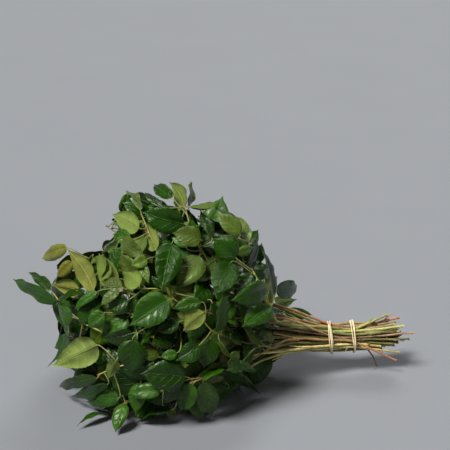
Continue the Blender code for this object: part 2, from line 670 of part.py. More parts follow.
def rod_shape(path, size, sides):
    """The corners and closed faces of a rod that follows a path."""
    corners = []
    faces = []
    up = np.array((0.0, 0.0, 1.0))
    for node, place in enumerate(path):
        ahead = unit(unit(path[min(node + 1, len(path) - 1)] - place) + unit(place - path[max(node - 1, 0)]))
        up = side_of(up, ahead)
        across = np.cross(up, ahead)
        for side in range(sides):
            angle = 2 * math.pi * side / sides
            corners.append(place + size[node] * (math.cos(angle) * across + math.sin(angle) * up))
    for node in range(len(path) - 1):
        for side in range(sides):
            a = node * sides + side
            b = node * sides + (side + 1) % sides
            faces += [(a, b, b + sides), (a, b + sides, a + sides)]
    last = (len(path) - 1) * sides
    faces.append(tuple(reversed(range(sides))))
    faces.append(tuple(range(last, last + sides)))
    return corners, faces


def rod_tree(path, size):
    """A stem as a tree of faces, with the gap round it."""
    return BVHTree.FromPolygons(*rod_shape(path, (size + GAP) / math.cos(math.pi / 6), 6))


def place_shown_leaves(growth, draw):
    """Set each leaf of the table, moved back along the line of sight until it is clear, on a
    stalk from the nearest stem that can carry it."""
    missed = []
    for name, (tip, base, deep, wide, turn, arch) in SHOWN_LEAVES.items():
        fold = draw.uniform(*FOLD)
        ripple = draw.uniform(*RIPPLE)
        phase = draw.uniform(0, 1)
        placed = False
        for back in range(0, MOST_BACK, BACK_STEP):
            tip_place = seen_place(*tip, deep[0] + back)
            base_place = seen_place(*base, deep[1] + back)
            along = unit(tip_place - base_place)
            to_eye = side_of(EYE - base_place, along)
            face = turned(to_eye, along, math.radians(turn))
            for owner, root in stalk_roots(growth, base_place, along, SHOWN_REACH):
                leaf = Leaf([root, base_place], tip_place, face, wide * 0.001, arch, fold, ripple, phase)
                stops = FULL_ROWS if leaf.length > SMALL_LEAF else PLAIN_ROWS
                if well_hung(leaf) and growth.clear(owner, blade_shape(leaf, stops, True, LEAF_GAP)):
                    growth.add(owner, leaf, stops, True, True)
                    placed = True
                    break
            if placed:
                break
        if not placed:
            missed.append(name)
    return missed


def stalk_roots(growth, base, along, longest):
    """Places on stems that could carry a leaf's base, nearest first."""
    found = []
    for owner, path in enumerate(growth.stems):
        for node in range(FIRST_HEAD_NODE, len(path) - 1):
            a, b = path[node], path[node + 1]
            share = float(np.clip((base - a) @ (b - a) / ((b - a) @ (b - a)), 0, 1))
            for shift in (0.0, -0.35):
                t = float(np.clip(share + shift, 0.02, 0.985))
                root = a + (b - a) * t
                far = float(np.linalg.norm(base - root))
                if far > longest:
                    continue
                stands_back = float((root - base) @ along) > 0.5 * far
                found.append((far * (BACKWARD_COST if stands_back else 1.0), owner, tuple(root)))
    found.sort(key=lambda item: item[:2])
    return [(owner, np.array(root)) for _, owner, root in found[:ROOT_CHOICES]]


def place_rule_leaves(growth, draw):
    """Leaves up every stem, one side and then the other, from its tip to the bundle."""
    steps = []
    for owner, path in enumerate(growth.stems):
        head = path[3:]
        lengths = np.linalg.norm(head[1:] - head[:-1], axis=1)
        total = float(lengths.sum())
        place = 0.004
        number = 0
        while place < total - 0.005:
            steps.append((place, owner, number))
            place += LEAF_SPACING * draw.uniform(*SPACING_SPREAD) * (0.8 if number < 2 else 1.0)
            number += 1
    steps.sort()
    for place, owner, number in steps:
        if len(growth.leaves) < RULE_LIMIT:
            try_rule_leaf(growth, draw, owner, place, number)


def try_rule_leaf(growth, draw, owner, place, number):
    """One leaf at a place measured back from the stem's tip, in the first attitude that is
    clear of the rest."""
    root, ahead = place_on_stem(growth.stems[owner], place)
    outward = unit((root - HEAD_MIDDLE) / HEAD_RADII ** 2)
    inside = 1 - math.sqrt(float(np.sum(((root - HEAD_MIDDLE) / HEAD_RADII) ** 2)))
    forward = side_of(ahead + TIPWARD, outward)
    sideways = np.cross(outward, forward) * (1 if number % 2 else -1)
    grown = min(1.0, 0.76 + 0.12 * number)
    for attempt in range(RULE_TRIES):
        lean = draw.uniform(*(LEAN if number else TIP_LEAN))
        rise = draw.uniform(*RISE) + 1.2 * max(inside - 0.15, 0.0)
        way = forward * math.cos(lean) + sideways * math.sin(lean) + rise * outward
        way = unit(way + draw.normal(0, 0.15 + 0.02 * attempt, 3))
        length = grown * draw.uniform(*LEAF_LENGTH) * (1 - 0.018 * attempt)
        base = root + way * STALK_LENGTH
        if keep_if_clear(growth, draw, owner, root, base, way, length, outward):
            return


def keep_if_clear(growth, draw, owner, root, base, way, length, outward):
    """Place a leaf of the rule if it is in the head, hides none that shows and touches none."""
    tip = base + way * length
    if tip[2] < LEAF_FLOOR:
        way = unit(tip + np.array((0.0, 0.0, LEAF_FLOOR - tip[2])) - base)
        tip = base + way * length
    reach = float(np.sum(((tip - HEAD_MIDDLE) / (HEAD_RADII * HEAD_REACH)) ** 2))
    if tip[2] < 0.001 or base[2] < 0.003 or (reach > 1 and tip[2] > SKIRT_HEIGHT) or reach > SKIRT_REACH:
        return False
    face = outward + LIGHTWARD + draw.normal(0, FACE_SCATTER, 3)
    if draw.uniform() < TURNED_SHARE:
        face = -face
    wide = length * LEAF_WIDTH * draw.uniform(0.9, 1.1)
    leaf = Leaf([root, base], tip, face, wide, draw.uniform(*ARCH), draw.uniform(*FOLD),
                draw.uniform(*RIPPLE), draw.uniform(0, 1))
    marks = leaf.places(np.array((0.4, 0.4, 1.0)), np.array((-1.0, 1.0, 0.0)))
    if not well_hung(leaf) or marks[:, 2].min() < -FLOOR_PRESS or not inside_outline(pixel_of(marks)):
        return False
    ribbed = reach > RIBBED_REACH
    if not growth.clear(owner, blade_shape(leaf, PLAIN_ROWS, ribbed, LEAF_GAP)):
        return False
    if growth.hides_shown(leaf):
        return False
    growth.add(owner, leaf, PLAIN_ROWS, ribbed, False)
    return True


def fill_gaps(growth, draw):
    """More leaves over the places on the head's outside that none yet covers."""
    for shrink in (0.95, 0.88):
        for index in range(FILL_PLACES):
            if len(growth.leaves) >= LEAF_LIMIT:
                return
            level = 1 - 2 * (index + 0.5) / FILL_PLACES
            spin = index * GOLDEN_TURN + shrink
            flat = math.sqrt(1 - level * level)
            ring = np.array((level, flat * math.cos(spin), flat * math.sin(spin)))
            target = HEAD_MIDDLE + shrink * HEAD_RADII * ring
            outward = unit(ring / HEAD_RADII)
            if target[2] < 0.02 or growth.covers(target + 0.08 * outward, -outward):
                continue
            for attempt in range(FILL_TRIES):
                way = side_of(TIPWARD + draw.normal(0, 0.12, 3), outward)
                way = unit(way + draw.uniform(-0.1, 0.35) * outward)
                length = draw.uniform(*LEAF_LENGTH) * (1 - 0.03 * attempt)
                base = target - 0.45 * length * way - draw.uniform(0.0, 0.025) * outward
                roots = stalk_roots(growth, base, way, FILL_REACH)[:5]
                if any(keep_if_clear(growth, draw, owner, root, base, way, length, outward)
                       for owner, root in roots):
                    break


def place_on_stem(path, back):
    """The place and direction so far back from a stem's tip."""
    for node in range(len(path) - 1, 0, -1):
        step = path[node] - path[node - 1]
        length = float(np.linalg.norm(step))
        if back <= length:
            return path[node] - step * (back / length), unit(step)
        back -= length
    return path[0], unit(path[1] - path[0])


def grown_bunch():
    """The settled stems with every leaf placed."""
    stems, radii = settled_stems()
    growth = Growth(stems, radii)
    draw = np.random.default_rng(SEED + 1)
    place_shown_leaves(growth, draw)
    place_rule_leaves(growth, draw)
    fill_gaps(growth, draw)
    return growth


# Solids

def new_object(name, mesh, collection):
    """An object of a mesh in a collection."""
    thing = bpy.data.objects.new(name, mesh)
    collection.objects.link(thing)
    return thing


def stem_mesh(name, path, size, collection):
    """A stem or twig: a curve with a square section on edge that thins to its tip, made a mesh
    with closed ends."""
    curve = bpy.data.curves.new(name, "CURVE")
    curve.dimensions = "3D"
    curve.bevel_depth = 1.0
    curve.bevel_resolution = 0
    curve.use_fill_caps = True
    spline = curve.splines.new("POLY")
    spline.points.add(len(path) - 1)
    for point, place, radius in zip(spline.points, path, size):
        point.co = (*place, 1)
        point.radius = radius
    drawn = new_object(name, curve, collection)
    bpy.context.view_layer.update()
    mesh = bpy.data.meshes.new_from_object(drawn.evaluated_get(bpy.context.evaluated_depsgraph_get()))
    bpy.data.objects.remove(drawn)
    welded = bmesh.new()
    welded.from_mesh(mesh)
    bmesh.ops.remove_doubles(welded, verts=welded.verts, dist=1e-6)
    welded.to_mesh(mesh)
    welded.free()
    return mesh


def leaf_mesh(name, leaf, stops, ribbed):
    """A leaf's closed blade as a mesh."""
    corners, faces = blade_shape(leaf, stops, ribbed)
    mesh = bpy.data.meshes.new(name)
    mesh.from_pydata([tuple(corner) for corner in corners], [], faces)
    return mesh


def finish(name, colour, roughness):
    """A material of one colour."""
    made = bpy.data.materials.new(name)
    made.use_nodes = True
    shader = made.node_tree.nodes["Principled BSDF"]
    shader.inputs["Base Color"].default_value = (*colour, 1)
    shader.inputs["Roughness"].default_value = roughness
    made.diffuse_color = (*colour, 1)
    return made


def prop_path(growth):
    """The lowest stem that the prop twig can leave, and the places that the twig passes."""
    end = EYE + sight(*PROP_TWIG[1]) * (-EYE[2] / sight(*PROP_TWIG[1])[2])
    start_x = place_at_depth(*PROP_TWIG[0], end[1])[0]
    lowest = None
    for number, path in enumerate(growth.stems):
        if path[0, 0] < start_x + 0.01:
            continue
        share = (path[0, 0] - start_x) / (path[0, 0] - path[1, 0])
        start = path[0] + (path[1] - path[0]) * share
        if lowest is None or start[2] < lowest[1][2]:
            lowest = (number, start)
    number, start = lowest
    end = end + np.array((0.0, start[1] - end[1], PROP_RADIUS))
    return number, np.array((start, (start + end) / 2 + np.array((0.003, 0.0, 0.0)), end))


def drop_scraps(mesh):
    """Remove every shell but the largest: loose scraps, and hollows that the union sealed."""
    shells = bmesh.new()
    shells.from_mesh(mesh)
    left = set(shells.verts)
    found = []
    while left:
        shell = {left.pop()}
        edge = list(shell)
        while edge:
            vertex = edge.pop()
            for link in vertex.link_edges:
                other = link.other_vert(vertex)
                if other not in shell:
                    shell.add(other)
                    edge.append(other)
        left -= shell
        found.append(shell)
    found.sort(key=len)
    for shell in found[:-1]:
        bmesh.ops.delete(shells, geom=list(shell), context="VERTS")
    shells.to_mesh(mesh)
    shells.free()


def fused_stem(name, growth, number, twig, finishes, bunch):
    """One leafy stem: its leaves, and a side twig if it has one, joined to it in one solid."""
    stem = new_object(name, stem_mesh(name, growth.stems[number], growth.radii[number], bunch), bunch)
    stem.data.materials.append(finishes["bark"])
    blades = bpy.data.collections.new(name + "_leaves")
    bpy.context.scene.collection.children.link(blades)
    for owner, leaf, stops, ribbed in growth.leaves:
        if owner == number:
            mesh = leaf_mesh(name + "_leaf", leaf, stops, ribbed)
            mesh.materials.append(finishes["leaf"])
            new_object(name + "_leaf", mesh, blades)
    if twig is not None:
        mesh = stem_mesh(name + "_prop", twig, [PROP_RADIUS] * len(twig), blades)
        for vertex in mesh.vertices:
            vertex.co.z = max(vertex.co.z, 0.0)
        mesh.materials.append(finishes["bark"])
        new_object(name + "_prop", mesh, blades)
    union = stem.modifiers.new("union", "BOOLEAN")
    union.operation = "UNION"
    union.operand_type = "COLLECTION"
    union.collection = blades
    union.solver = "MANIFOLD"
    union.material_mode = "TRANSFER"
    tidy = stem.modifiers.new("tidy", "DECIMATE")
    tidy.decimate_type = "DISSOLVE"
    tidy.angle_limit = math.radians(1.0)
    bpy.context.view_layer.update()
    fused = bpy.data.meshes.new_from_object(stem.evaluated_get(bpy.context.evaluated_depsgraph_get()))
    stem.modifiers.clear()
    stem.data = fused
    drop_scraps(fused)
    for blade in list(blades.objects):
        bpy.data.objects.remove(blade)
    bpy.data.collections.remove(blades)
    return stem


def band_loop(stems, radii, tie):
    """Places round a tie, as far out as the stems and half the band push it, in Y and Z."""
    rim = []
    for shift in (-BAND_WIDTH / 2, 0.0, BAND_WIDTH / 2):
        for path, size in zip(stems, radii):
            across = path[::-1, 0]
            y = np.interp(tie[0] + shift, across, path[::-1, 1])
            z = np.interp(tie[0] + shift, across, path[::-1, 2])
            reach = size[1] * BAND_SLANT + BAND_GAP + BAND_THICKNESS / 2
            for side in range(ROUND_SIDES):
                angle = 2 * math.pi * side / ROUND_SIDES
                rim.append((float(y + reach * math.cos(angle)), float(z + reach * math.sin(angle))))
    rim = np.array(rim)
    angles = np.arange(BAND_POINTS) * 2 * math.pi / BAND_POINTS
    ways = np.stack((np.cos(angles), np.sin(angles)), axis=1)
    reaches = (rim @ ways.T).max(axis=0)
    loop = []
    for place in range(BAND_POINTS):
        both = [place, (place + 1) % BAND_POINTS]
        loop.append(tuple(np.linalg.solve(ways[both], reaches[both])))
    return loop


def rubber_band(name, tie, growth, finishes, bunch):
    """A flat rubber ring pulled tight round the stems."""
    profile = bpy.data.curves.new(name + "_profile", "CURVE")
    profile.dimensions = "2D"
    section = profile.splines.new("POLY")
    section.points.add(3)
    flat = BAND_THICKNESS / 2
    wide = BAND_WIDTH / 2
    corners = ((wide, -flat), (wide, flat), (-wide, flat), (-wide, -flat))
    for point, (x, y) in zip(section.points, corners):
        point.co = (y, x, 0, 1)
    section.use_cyclic_u = True
    shape = new_object(name + "_profile", profile, bunch)
    curve = bpy.data.curves.new(name, "CURVE")
    curve.dimensions = "2D"
    curve.fill_mode = "NONE"
    curve.bevel_mode = "OBJECT"
    curve.bevel_object = shape
    loop = curve.splines.new("POLY")
    places = band_loop(growth.stems, growth.radii, tie)
    loop.points.add(len(places) - 1)
    for point, (y, z) in zip(loop.points, places):
        point.co = (y, z, 0, 1)
    loop.use_cyclic_u = True
    drawn = new_object(name + "_drawn", curve, bunch)
    bpy.context.view_layer.update()
    mesh = bpy.data.meshes.new_from_object(drawn.evaluated_get(bpy.context.evaluated_depsgraph_get()))
    bpy.data.objects.remove(drawn)
    bpy.data.objects.remove(shape)
    # The curve lies in its own XY plane, which stands across the bundle
    mesh.transform(Matrix(((0, 0, 1, tie[0]), (1, 0, 0, 0), (0, 1, 0, 0), (0, 0, 0, 1))))
    mesh.materials.append(finishes["rubber"])
    return new_object(name, mesh, bunch)


def build():
    """Every leafy stem and both bands, with the origin under the middle of the whole."""
    for thing in list(bpy.data.objects):
        bpy.data.objects.remove(thing)
    growth = grown_bunch()
    bunch = bpy.data.collections.new("salal_bunch")
    bpy.context.scene.collection.children.link(bunch)
    finishes = {
        "bark": finish("salal_bark", (0.33, 0.26, 0.10), 0.6),
        "leaf": finish("salal_leaf", (0.05, 0.13, 0.03), 0.35),
        "rubber": finish("cream_rubber", (0.75, 0.68, 0.50), 0.5),
    }
    pieces = []
    prop_owner, prop_twig = prop_path(growth)
    for number in range(STEM_COUNT):
        name = f"leafy_stem_{number + 1:02d}"
        twig = prop_twig if number == prop_owner else None
        pieces.append(fused_stem(name, growth, number, twig, finishes, bunch))
    for number, tie in enumerate(BUNDLE_TIES):
        pieces.append(rubber_band(f"rubber_band_{number + 1}", tie, growth, finishes, bunch))
    corners = np.array([tuple(vertex.co) for piece in pieces for vertex in piece.data.vertices])
    low = corners.min(axis=0)
    high = corners.max(axis=0)
    origin = bpy.data.objects.new("bunch_origin", None)
    bunch.objects.link(origin)
    origin.location = (-(low[0] + high[0]) / 2, -(low[1] + high[1]) / 2, -low[2])
    for piece in pieces:
        piece.parent = origin
        piece.data.shade_smooth()
        piece.data.set_sharp_from_angle(angle=math.radians(SHARP_ANGLE))


build()
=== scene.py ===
"""Looks of a tied bunch of salal branches, lying on its side.

The layout is the one that the part's solids are built from: the same named values, the same
rules and the same seeded draws. Each leafy stem and rubber band is then made again with fine
blades, stalks, bark and strands, in place of its plain solid.

Metres, +Z up. In the named values, a tone is a screen colour from 0 to 255.
"""
import math

import bpy
import numpy as np
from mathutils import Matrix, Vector
from mathutils.bvhtree import BVHTree

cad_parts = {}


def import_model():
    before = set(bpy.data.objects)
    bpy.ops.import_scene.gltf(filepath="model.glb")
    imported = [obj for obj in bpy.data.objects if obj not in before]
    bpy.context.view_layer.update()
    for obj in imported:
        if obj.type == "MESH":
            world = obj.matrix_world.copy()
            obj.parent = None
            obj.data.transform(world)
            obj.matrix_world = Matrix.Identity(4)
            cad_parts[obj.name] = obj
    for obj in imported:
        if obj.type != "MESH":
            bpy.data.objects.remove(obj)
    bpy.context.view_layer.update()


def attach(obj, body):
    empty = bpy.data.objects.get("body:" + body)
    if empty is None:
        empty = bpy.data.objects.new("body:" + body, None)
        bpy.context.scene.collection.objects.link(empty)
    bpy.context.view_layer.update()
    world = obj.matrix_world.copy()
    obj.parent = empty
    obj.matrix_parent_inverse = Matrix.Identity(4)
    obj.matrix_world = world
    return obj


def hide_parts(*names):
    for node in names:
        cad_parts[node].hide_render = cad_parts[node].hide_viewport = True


ALONG_X = np.array((1.0, 0.0, 0.0))
UPWARD = np.array((0.0, 0.0, 1.0))
MILLIMETRE = 0.001

# The least length and square that anything is divided by
LEAST_LENGTH = 1e-9
LEAST_SQUARE = 1e-12

# The eye that the picture was seen from, looking along +Y and down
EYE = np.array((0.025, -2.067, 1.047))
EYE_DROP = math.radians(20)
FOCAL_PIXELS = 1222
PICTURE_MIDDLE = 225
EYE_UP = np.array((0.0, math.sin(EYE_DROP), math.cos(EYE_DROP)))
EYE_AHEAD = np.array((0.0, math.cos(EYE_DROP), -math.sin(EYE_DROP)))

# The leafy head: an ellipsoid cut off by the floor
HEAD_MIDDLE = np.array((-0.090, 0.0, 0.130))
HEAD_RADII = np.array((0.230, 0.232, 0.225))
HEAD_REACH = 1.13
RIBBED_REACH = 0.78
FLOOR_ROOM = 0.007

# The bundle of bare stems: places that its axis goes through
BUNDLE_EXIT = np.array((0.105, -0.020, 0.096))
BUNDLE_TIES = (np.array((0.2215, 0.006, 0.0690)), np.array((0.2646, 0.014, 0.0660)))
BUNDLE_END = np.array((0.345, 0.030, 0.064))
EXIT_RADIUS = 0.056
END_RADIUS = 0.032
TIE_RADIUS = 0.022
END_SCATTER = 0.006
STEM_CROSSING = 0.45
LENGTH_SCATTER = (-0.038, 0.008)
FULL_SPREAD_AT = 0.11
OUTWARD_SHARE = (0.75, 1.0)
SHOWN_END_LEAD = 0.01
# How much of a stem's crossing it still has at each tie, from its cut end on, and at the exit
TIE_CROSSINGS = (0.5, 0.0)
EXIT_CROSSING = -0.5

# A hidden stem's tip: how far round from -X the last one lies, as one less its cosine, and how
# far out in the head the tips lie
FAN_REACH = 1.66
TIP_REACH = 0.80
TIP_FLOOR = 0.014
EXIT_AIM = 0.75
EXIT_RING = 0.9
BEND_AT = 0.5

# Stems: their radii, from the cut end to the tip, and their nodes
STEM_COUNT = 56
STEM_RADIUS = (0.0022, 0.0034)
TWIG_RADIUS = 0.00125
BUNDLE_TAPER = (1.0, 1.0, 1.0, 0.95)
HEAD_TAPER = 0.85
HEAD_NODES = 5
BUNDLE_LENGTHS = 2
TIE_NODES = slice(1, 3)
EXIT_NODE = 3
FIRST_HEAD_NODE = 4

# Rods that stand for stems in tests, and the room round them
GAP = 0.0005
BOX_ROOM = 0.005
ROD_SIDES = 6
SQUARE_SIDES = 4

# Rounds of settling: held to their own ways, drawn in at the ties, and only pushed apart
SETTLING = (240, 120, 140)
PAIR_ROUNDS = 10
NEIGHBOUR_REACH = 0.02
SHAKE = 1e-5
LEAST_COUNT = 0.5
# How strongly each node is held, smoothed or drawn in, in each round
HOLD = (0.02, 0.0, 0.0, 0.01)
HEAD_HOLD = 0.04
SMOOTHING = 0.03
FIRST_PULL = 0.04
LAST_PULL = 0.008
STEM_FLOOR = 0.002
SEED = 20

# A leaf: its blade and stalk
BLADE_THICKNESS = 0.0008
STALK_WIDTH = 0.0017
STALK_THICKNESS = 0.0015
STALK_LENGTH = 0.009
LONG_STALK = 0.022
ROOT_DEPTH = 0.0007
SMALL_LEAF = 0.055
LEAF_LENGTH = (0.078, 0.104)
LEAF_WIDTH = 0.58
WIDTH_SPREAD = (0.9, 1.1)
BROADEST_AT = 0.385
BASE_FULLNESS = 0.60
FOLD = (0.15, 0.45)
RIPPLE = (0.006, 0.016)
ARCH = (0.02, 0.10)
# How the fold eases towards the margin, and the waves along a blade: how many, how far those of
# one side lag and how they grow towards the margin
FOLD_EASE = 0.6
WAVES = 1.6
WAVE_LAG = 1.3
WAVE_EDGE = 1.5
# Rows of places down a blade, from its base
FULL_ROWS = (0.13, 0.42, 0.76)
PLAIN_ROWS = (0.17, 0.62)

# Tests of a leaf: the room round it, how it leads away from its root, and how near the floor it
# may come
LEAF_GAP = 0.0006
STEEP_STALK = 0.7
LEAST_COSINE = 0.5
LEAST_LEAD = -0.15
MOST_SIDEWAYS = 0.92
LEAF_FLOOR = 0.004
LOWEST_TIP = 0.001
LOWEST_BASE = 0.003
FLOOR_PRESS = 0.006
# Leaves may spread beyond the head only where they lie on the floor
SKIRT_HEIGHT = 0.03
SKIRT_REACH = 1.25
# A blade's two broadest places and its tip, and places that tell whether it hides another or is
# blocked, as shares along and across it
OUTER_MARKS = (np.array((0.4, 0.4, 1.0)), np.array((-1.0, 1.0, 0.0)))
HIDING_MARKS = ((0.15, 0.0), (0.4, -0.7), (0.4, 0.7), (0.5, 0.0), (0.75, -0.5), (0.75, 0.5), (0.97, 0.0))
BLOCKING_MARKS = (np.array((0.1, 0.97, 0.15, 0.8, 0.15, 0.8)), np.array((0, 0, -0.9, -0.9, 0.9, 0.9)))

# Where a stalk may leave a stem, and how much farther a root that lies ahead of its leaf counts
ROOT_CHOICES = 14
ROOT_SHIFTS = (0.0, -0.35)
ROOT_SPAN = (0.02, 0.985)
BACKWARD_SHARE = 0.5
BACKWARD_COST = 2.2

# Leaves of the table: how far each may be moved back, in millimetres, and its longest stalk
MOST_BACK = 64
BACK_STEP = 4
SHOWN_REACH = 0.075

# Leaves by rule up each stem: the first ones stand closer together and are smaller
RULE_LIMIT = 228
LEAF_SPACING = 0.042
SPACING_SPREAD = (0.75, 1.15)
FIRST_LEAF = 0.004
EXIT_ROOM = 0.005
TIP_LEAVES = 2
TIP_SPACING = 0.8
TIP_SIZE = 0.76
SIZE_STEP = 0.12
# Their attitude: deep in the head a leaf rises more
TIP_LEAN = (0.0, 0.6)
LEAN = (0.6, 1.5)
RISE = (-0.1, 0.3)
DEEP_RISE = 1.2
DEEP_FROM = 0.15
TURNED_SHARE = 0.12
FACE_SCATTER = 0.28
TIPWARD = np.array((-0.20, 0.0, 0.0))
LIGHTWARD = np.array((0.0, 0.0, 0.25))
# Each further try scatters more and is shorter
RULE_TRIES = 18
WAY_SCATTER = 0.15
MORE_SCATTER = 0.02
SHORTER = 0.018

# Leaves over the places on the head's outside that none covers
LEAF_LIMIT = 292
FILL_PLACES = 420
FILL_SHRINKS = (0.95, 0.88)
FILL_TRIES = 7
FILL_ROOTS = 5
FILL_REACH = 0.045
FILL_FLOOR = 0.02
FILL_LOOK = 0.08
COVER_DEPTH = 0.13
FILL_SCATTER = 0.12
FILL_RISE = (-0.1, 0.35)
FILL_SHORTER = 0.03
FILL_BASE = 0.45
FILL_SINK = (0.0, 0.025)
GOLDEN_TURN = math.pi * (3 - math.sqrt(5))

# Rubber bands
BAND_WIDTH = 0.0044
BAND_THICKNESS = 0.0018
BAND_GAP = 0.0004
BAND_SLANT = 1.05
BAND_POINTS = 20
ROUND_SIDES = 24

# Fine pieces
LOOK_SEED = 300
BAND_SEED = 400
STEM_SIDES = 8
TWIG_SIDES = 6
# A tube's first upward direction, how its run is scaled for the bark, and its pointed end
TUBE_UP = np.array((0.05, 0.1, 1.0))
RUN_SCALE = 100
TUBE_POINT = 0.7

# The fine blade's half width: its fullness at the base, broadest place, body's end and point
FINE_FULLNESS = 0.50
FINE_BROADEST = 0.37
FINE_END = 0.90
FINE_POINT = 0.13
# Its rows and columns, teeth and thickness
LOOK_ROWS = 22
FEW_ROWS = 14
ROW_SHIFT = 0.025
COLUMNS = np.array((-1.0, -0.93, -0.74, -0.5, -0.25, 0.0, 0.25, 0.5, 0.74, 0.93, 1.0))
TOOTH = 0.018
LEAST_HALF = 0.2
FINE_THICKNESS = 0.00045
EDGE_TAPER = 8
# How it bends: small waves, the curl of its tip, its twist and how its margin slides along
FINE_WAVE = 0.011
FINE_LAG = 2.1
CURL_FROM = 0.55
MIDDLE_CURL = 0.13
TWIST_FROM = 0.3
MARGIN_SLIDE = 0.06
# How much each of these is drawn to differ, and how much of that a named leaf takes
SMALL_WAVES = (2.6, 4.4)
MORE_RIPPLE = (1.4, 3.0)
DROOP = (-0.05, 0.30)
CURL_SPREAD = 0.24
BEND_SPREAD = 0.036
TWIST_SPREAD = 0.30
SHOWN_LOOSENESS = 0.4
# How much of a blade's drawn bend and of its width is kept, tried in turn until it is clear
EASINGS = ((1.0, 1.0), (0.5, 1.0), (0.0, 1.0), (-0.6, 1.0), (-1.0, 1.0), (0.4, 0.88), (0.0, 0.76))
NAMED_EASINGS = ((1.0, 1.0), (0.5, 1.0), (0.0, 1.0), (-0.6, 1.0), (-1.0, 1.0), (0.3, 0.92))

# Fine stalks: radii in millimetres, the pull of their bend and their places
LONG_STALK_RADIUS = 1.0
SHORT_STALK_RADIUS = 0.8
BLADE_STALK_RADIUS = 0.62
STALK_PULL = 0.012
STALK_STEPS = 5
LONG_STALK_STEPS = 7
# Midribs: how far along the blade they go, radii in millimetres, and how far below it
RIB_REACH = 0.9
RIB_RADII = (0.6, 0.2)
RIB_DROP = 0.55
FULL_RIB_AT = 0.08
RIB_LIGHT = 1.6
# A tint's alpha, which says how little it reddens
PLAIN_ALPHA = 0.5
RIB_ALPHA = 0.3
# Buds: how many leaves have one, their sizes, their form and how they stand
BUD_SHARE = 0.6
BUD_SIZES = (0.0022, 0.0036)
END_BUD = 0.0035
BUD_PROFILE = (0.55, 0.9, 1.0, 0.7, 0.2)
BUD_WIDTH = 0.45
BUD_LENGTH = 1.8
BUD_LIFT = 0.6
BUD_AHEAD = 0.9

# Fine stems: the places along them, and how crooked they are
STEM_STEP = 0.009
WAY_ROUNDING = 0.75
CROOK = 0.0007
BROAD_BENDS = 55
SHARP_BENDS = 124
SHARP_SHARE = 0.6
TWIG_CROOK = 0.8
TWIG_CROOK_FROM = 0.5
TWIG_CROOK_REACH = 0.3
END_FADE = 0.03
# Places along the bundle, how crooked the stems are there and how far out they reach
BUNDLE_PLACES = (BUNDLE_EXIT[0], BUNDLE_TIES[0][0], BUNDLE_TIES[1][0], BUNDLE_END[0])
BUNDLE_CROOK = (1.0, 0.35, 0.35, 0.8)
BUNDLE_REACHES = (EXIT_RADIUS, TIE_RADIUS, TIE_RADIUS, END_RADIUS)
# A stem's share of its plain radius, which falls along its upper part
SLIM = 0.79
SLIMMER = 0.07
SLIMMER_FROM = 0.45
SLIMMER_REACH = 0.4
# Scars on its bare length, and how it swells at each and at each leaf
SCAR_START = (0.02, 0.05)
SCARRED_SHARE = 0.5
SCAR_SPACING = 0.034
SCAR_SHIFT = 0.005
SWELLING = 0.22
SWELLING_REACH = 0.0032

# Stubs at some of the scars
STUB_SHARE = 0.45
STUB_LEAN = (0.4, 1.4)
STUB_LENGTH = (0.003, 0.009)
STUB_RADIUS = (0.0007, 0.0011)
STUB_TAPER = (1.0, 0.85, 0.75)
STUB_FOOT = 0.7
# Longer side twigs near the cut ends of outer stems
SPUR_FROM = 0.012
SPUR_SHARE = 0.4
SPUR_PLACE = (0.018, 0.05)
SPUR_LEAN = (0.35, 0.8)
SPUR_LENGTH = (0.014, 0.030)
SPUR_BEND = 0.0012
SPUR_RADII = (0.0015, 0.0010)
SPUR_POINTS = 5
SPUR_LIGHT = (1.1, 1.02, 1.0, 1.0)
# Thin side twigs across the neck of the bundle
TWIG_SHARE = 0.7
TWIG_STARTS = (0.135, 0.20)
TWIG_FROM = 0.015
TWIG_SPREAD = 0.31
TWIG_TURN = (0.12, 0.4)
TWIG_LENGTH = (0.04, 0.10)
TWIG_BEND = 0.003
TWIG_BENDS = 1.5
TWIG_RADII = (0.0014, 0.0009)
TWIG_POINTS = 9
TWIG_LIGHT = (1.15, 1.1, 1.0, 1.0)
TWIG_LIGHTS = (0.8, 1.3)
# The fine side twig that reaches the floor
PROP_STEP = 0.006
PROP_TAPER = (1.15, 1.0, 0.85)
# The cut face: its slope, its rings, how far in and how far out it stands
CUT_SLANT = (0.3, 1.1)
CUT_RINGS = (1.0, 0.6, 0.0)
CUT_INSET = 0.98
CUT_RISE = 1.15

# Rubber strands: where each lies along the bundle and how far out, and which one crosses
STRANDS = ((-0.0017, 0.0), (0.0, 0.0004), (0.0017, 0.0), (0.0009, 0.0012))
CROSSING_RISE = 0.001
CROSSING_REACH = 0.0024
STRAND_WAVES = (0.0011, 0.0006)
STRAND_LEAN = 0.13
STRAND_ROUNDING = 3
STRAND_RUN = 0.1
STRAND_POINTS = 96
STRAND_SIDES = 8
STRAND_WIDTH = 0.0019
STRAND_THICKNESS = 0.0013

# Leaves added in the depth of the head, where a look would go through it
INNER_SEED = 500
INNER_LIMIT = 640
INNER_ROUNDS = 2
INNER_TRIES = 9
INNER_ROOTS = 3
INNER_ROOT_SPAN = (0.02, 0.98)
INNER_REACH = 0.05
INNER_LENGTH = (0.055, 0.092)
INNER_WIDTHS = (0.95, 1.15)
INNER_SHORTER = 0.03
INNER_GAP = 0.0001
INNER_DEPTH = (0.01, 0.07)
INNER_SHRINK = 0.94
INNER_FLOOR = 0.012
INNER_BACK = 0.004
# Their attitude, and how much it is scattered
INNER_TIPWARD = 1.5
INNER_OUTWARD = 0.5
INNER_STRAY = 0.4
INNER_SCATTER = 0.30
INNER_MORE = 0.03
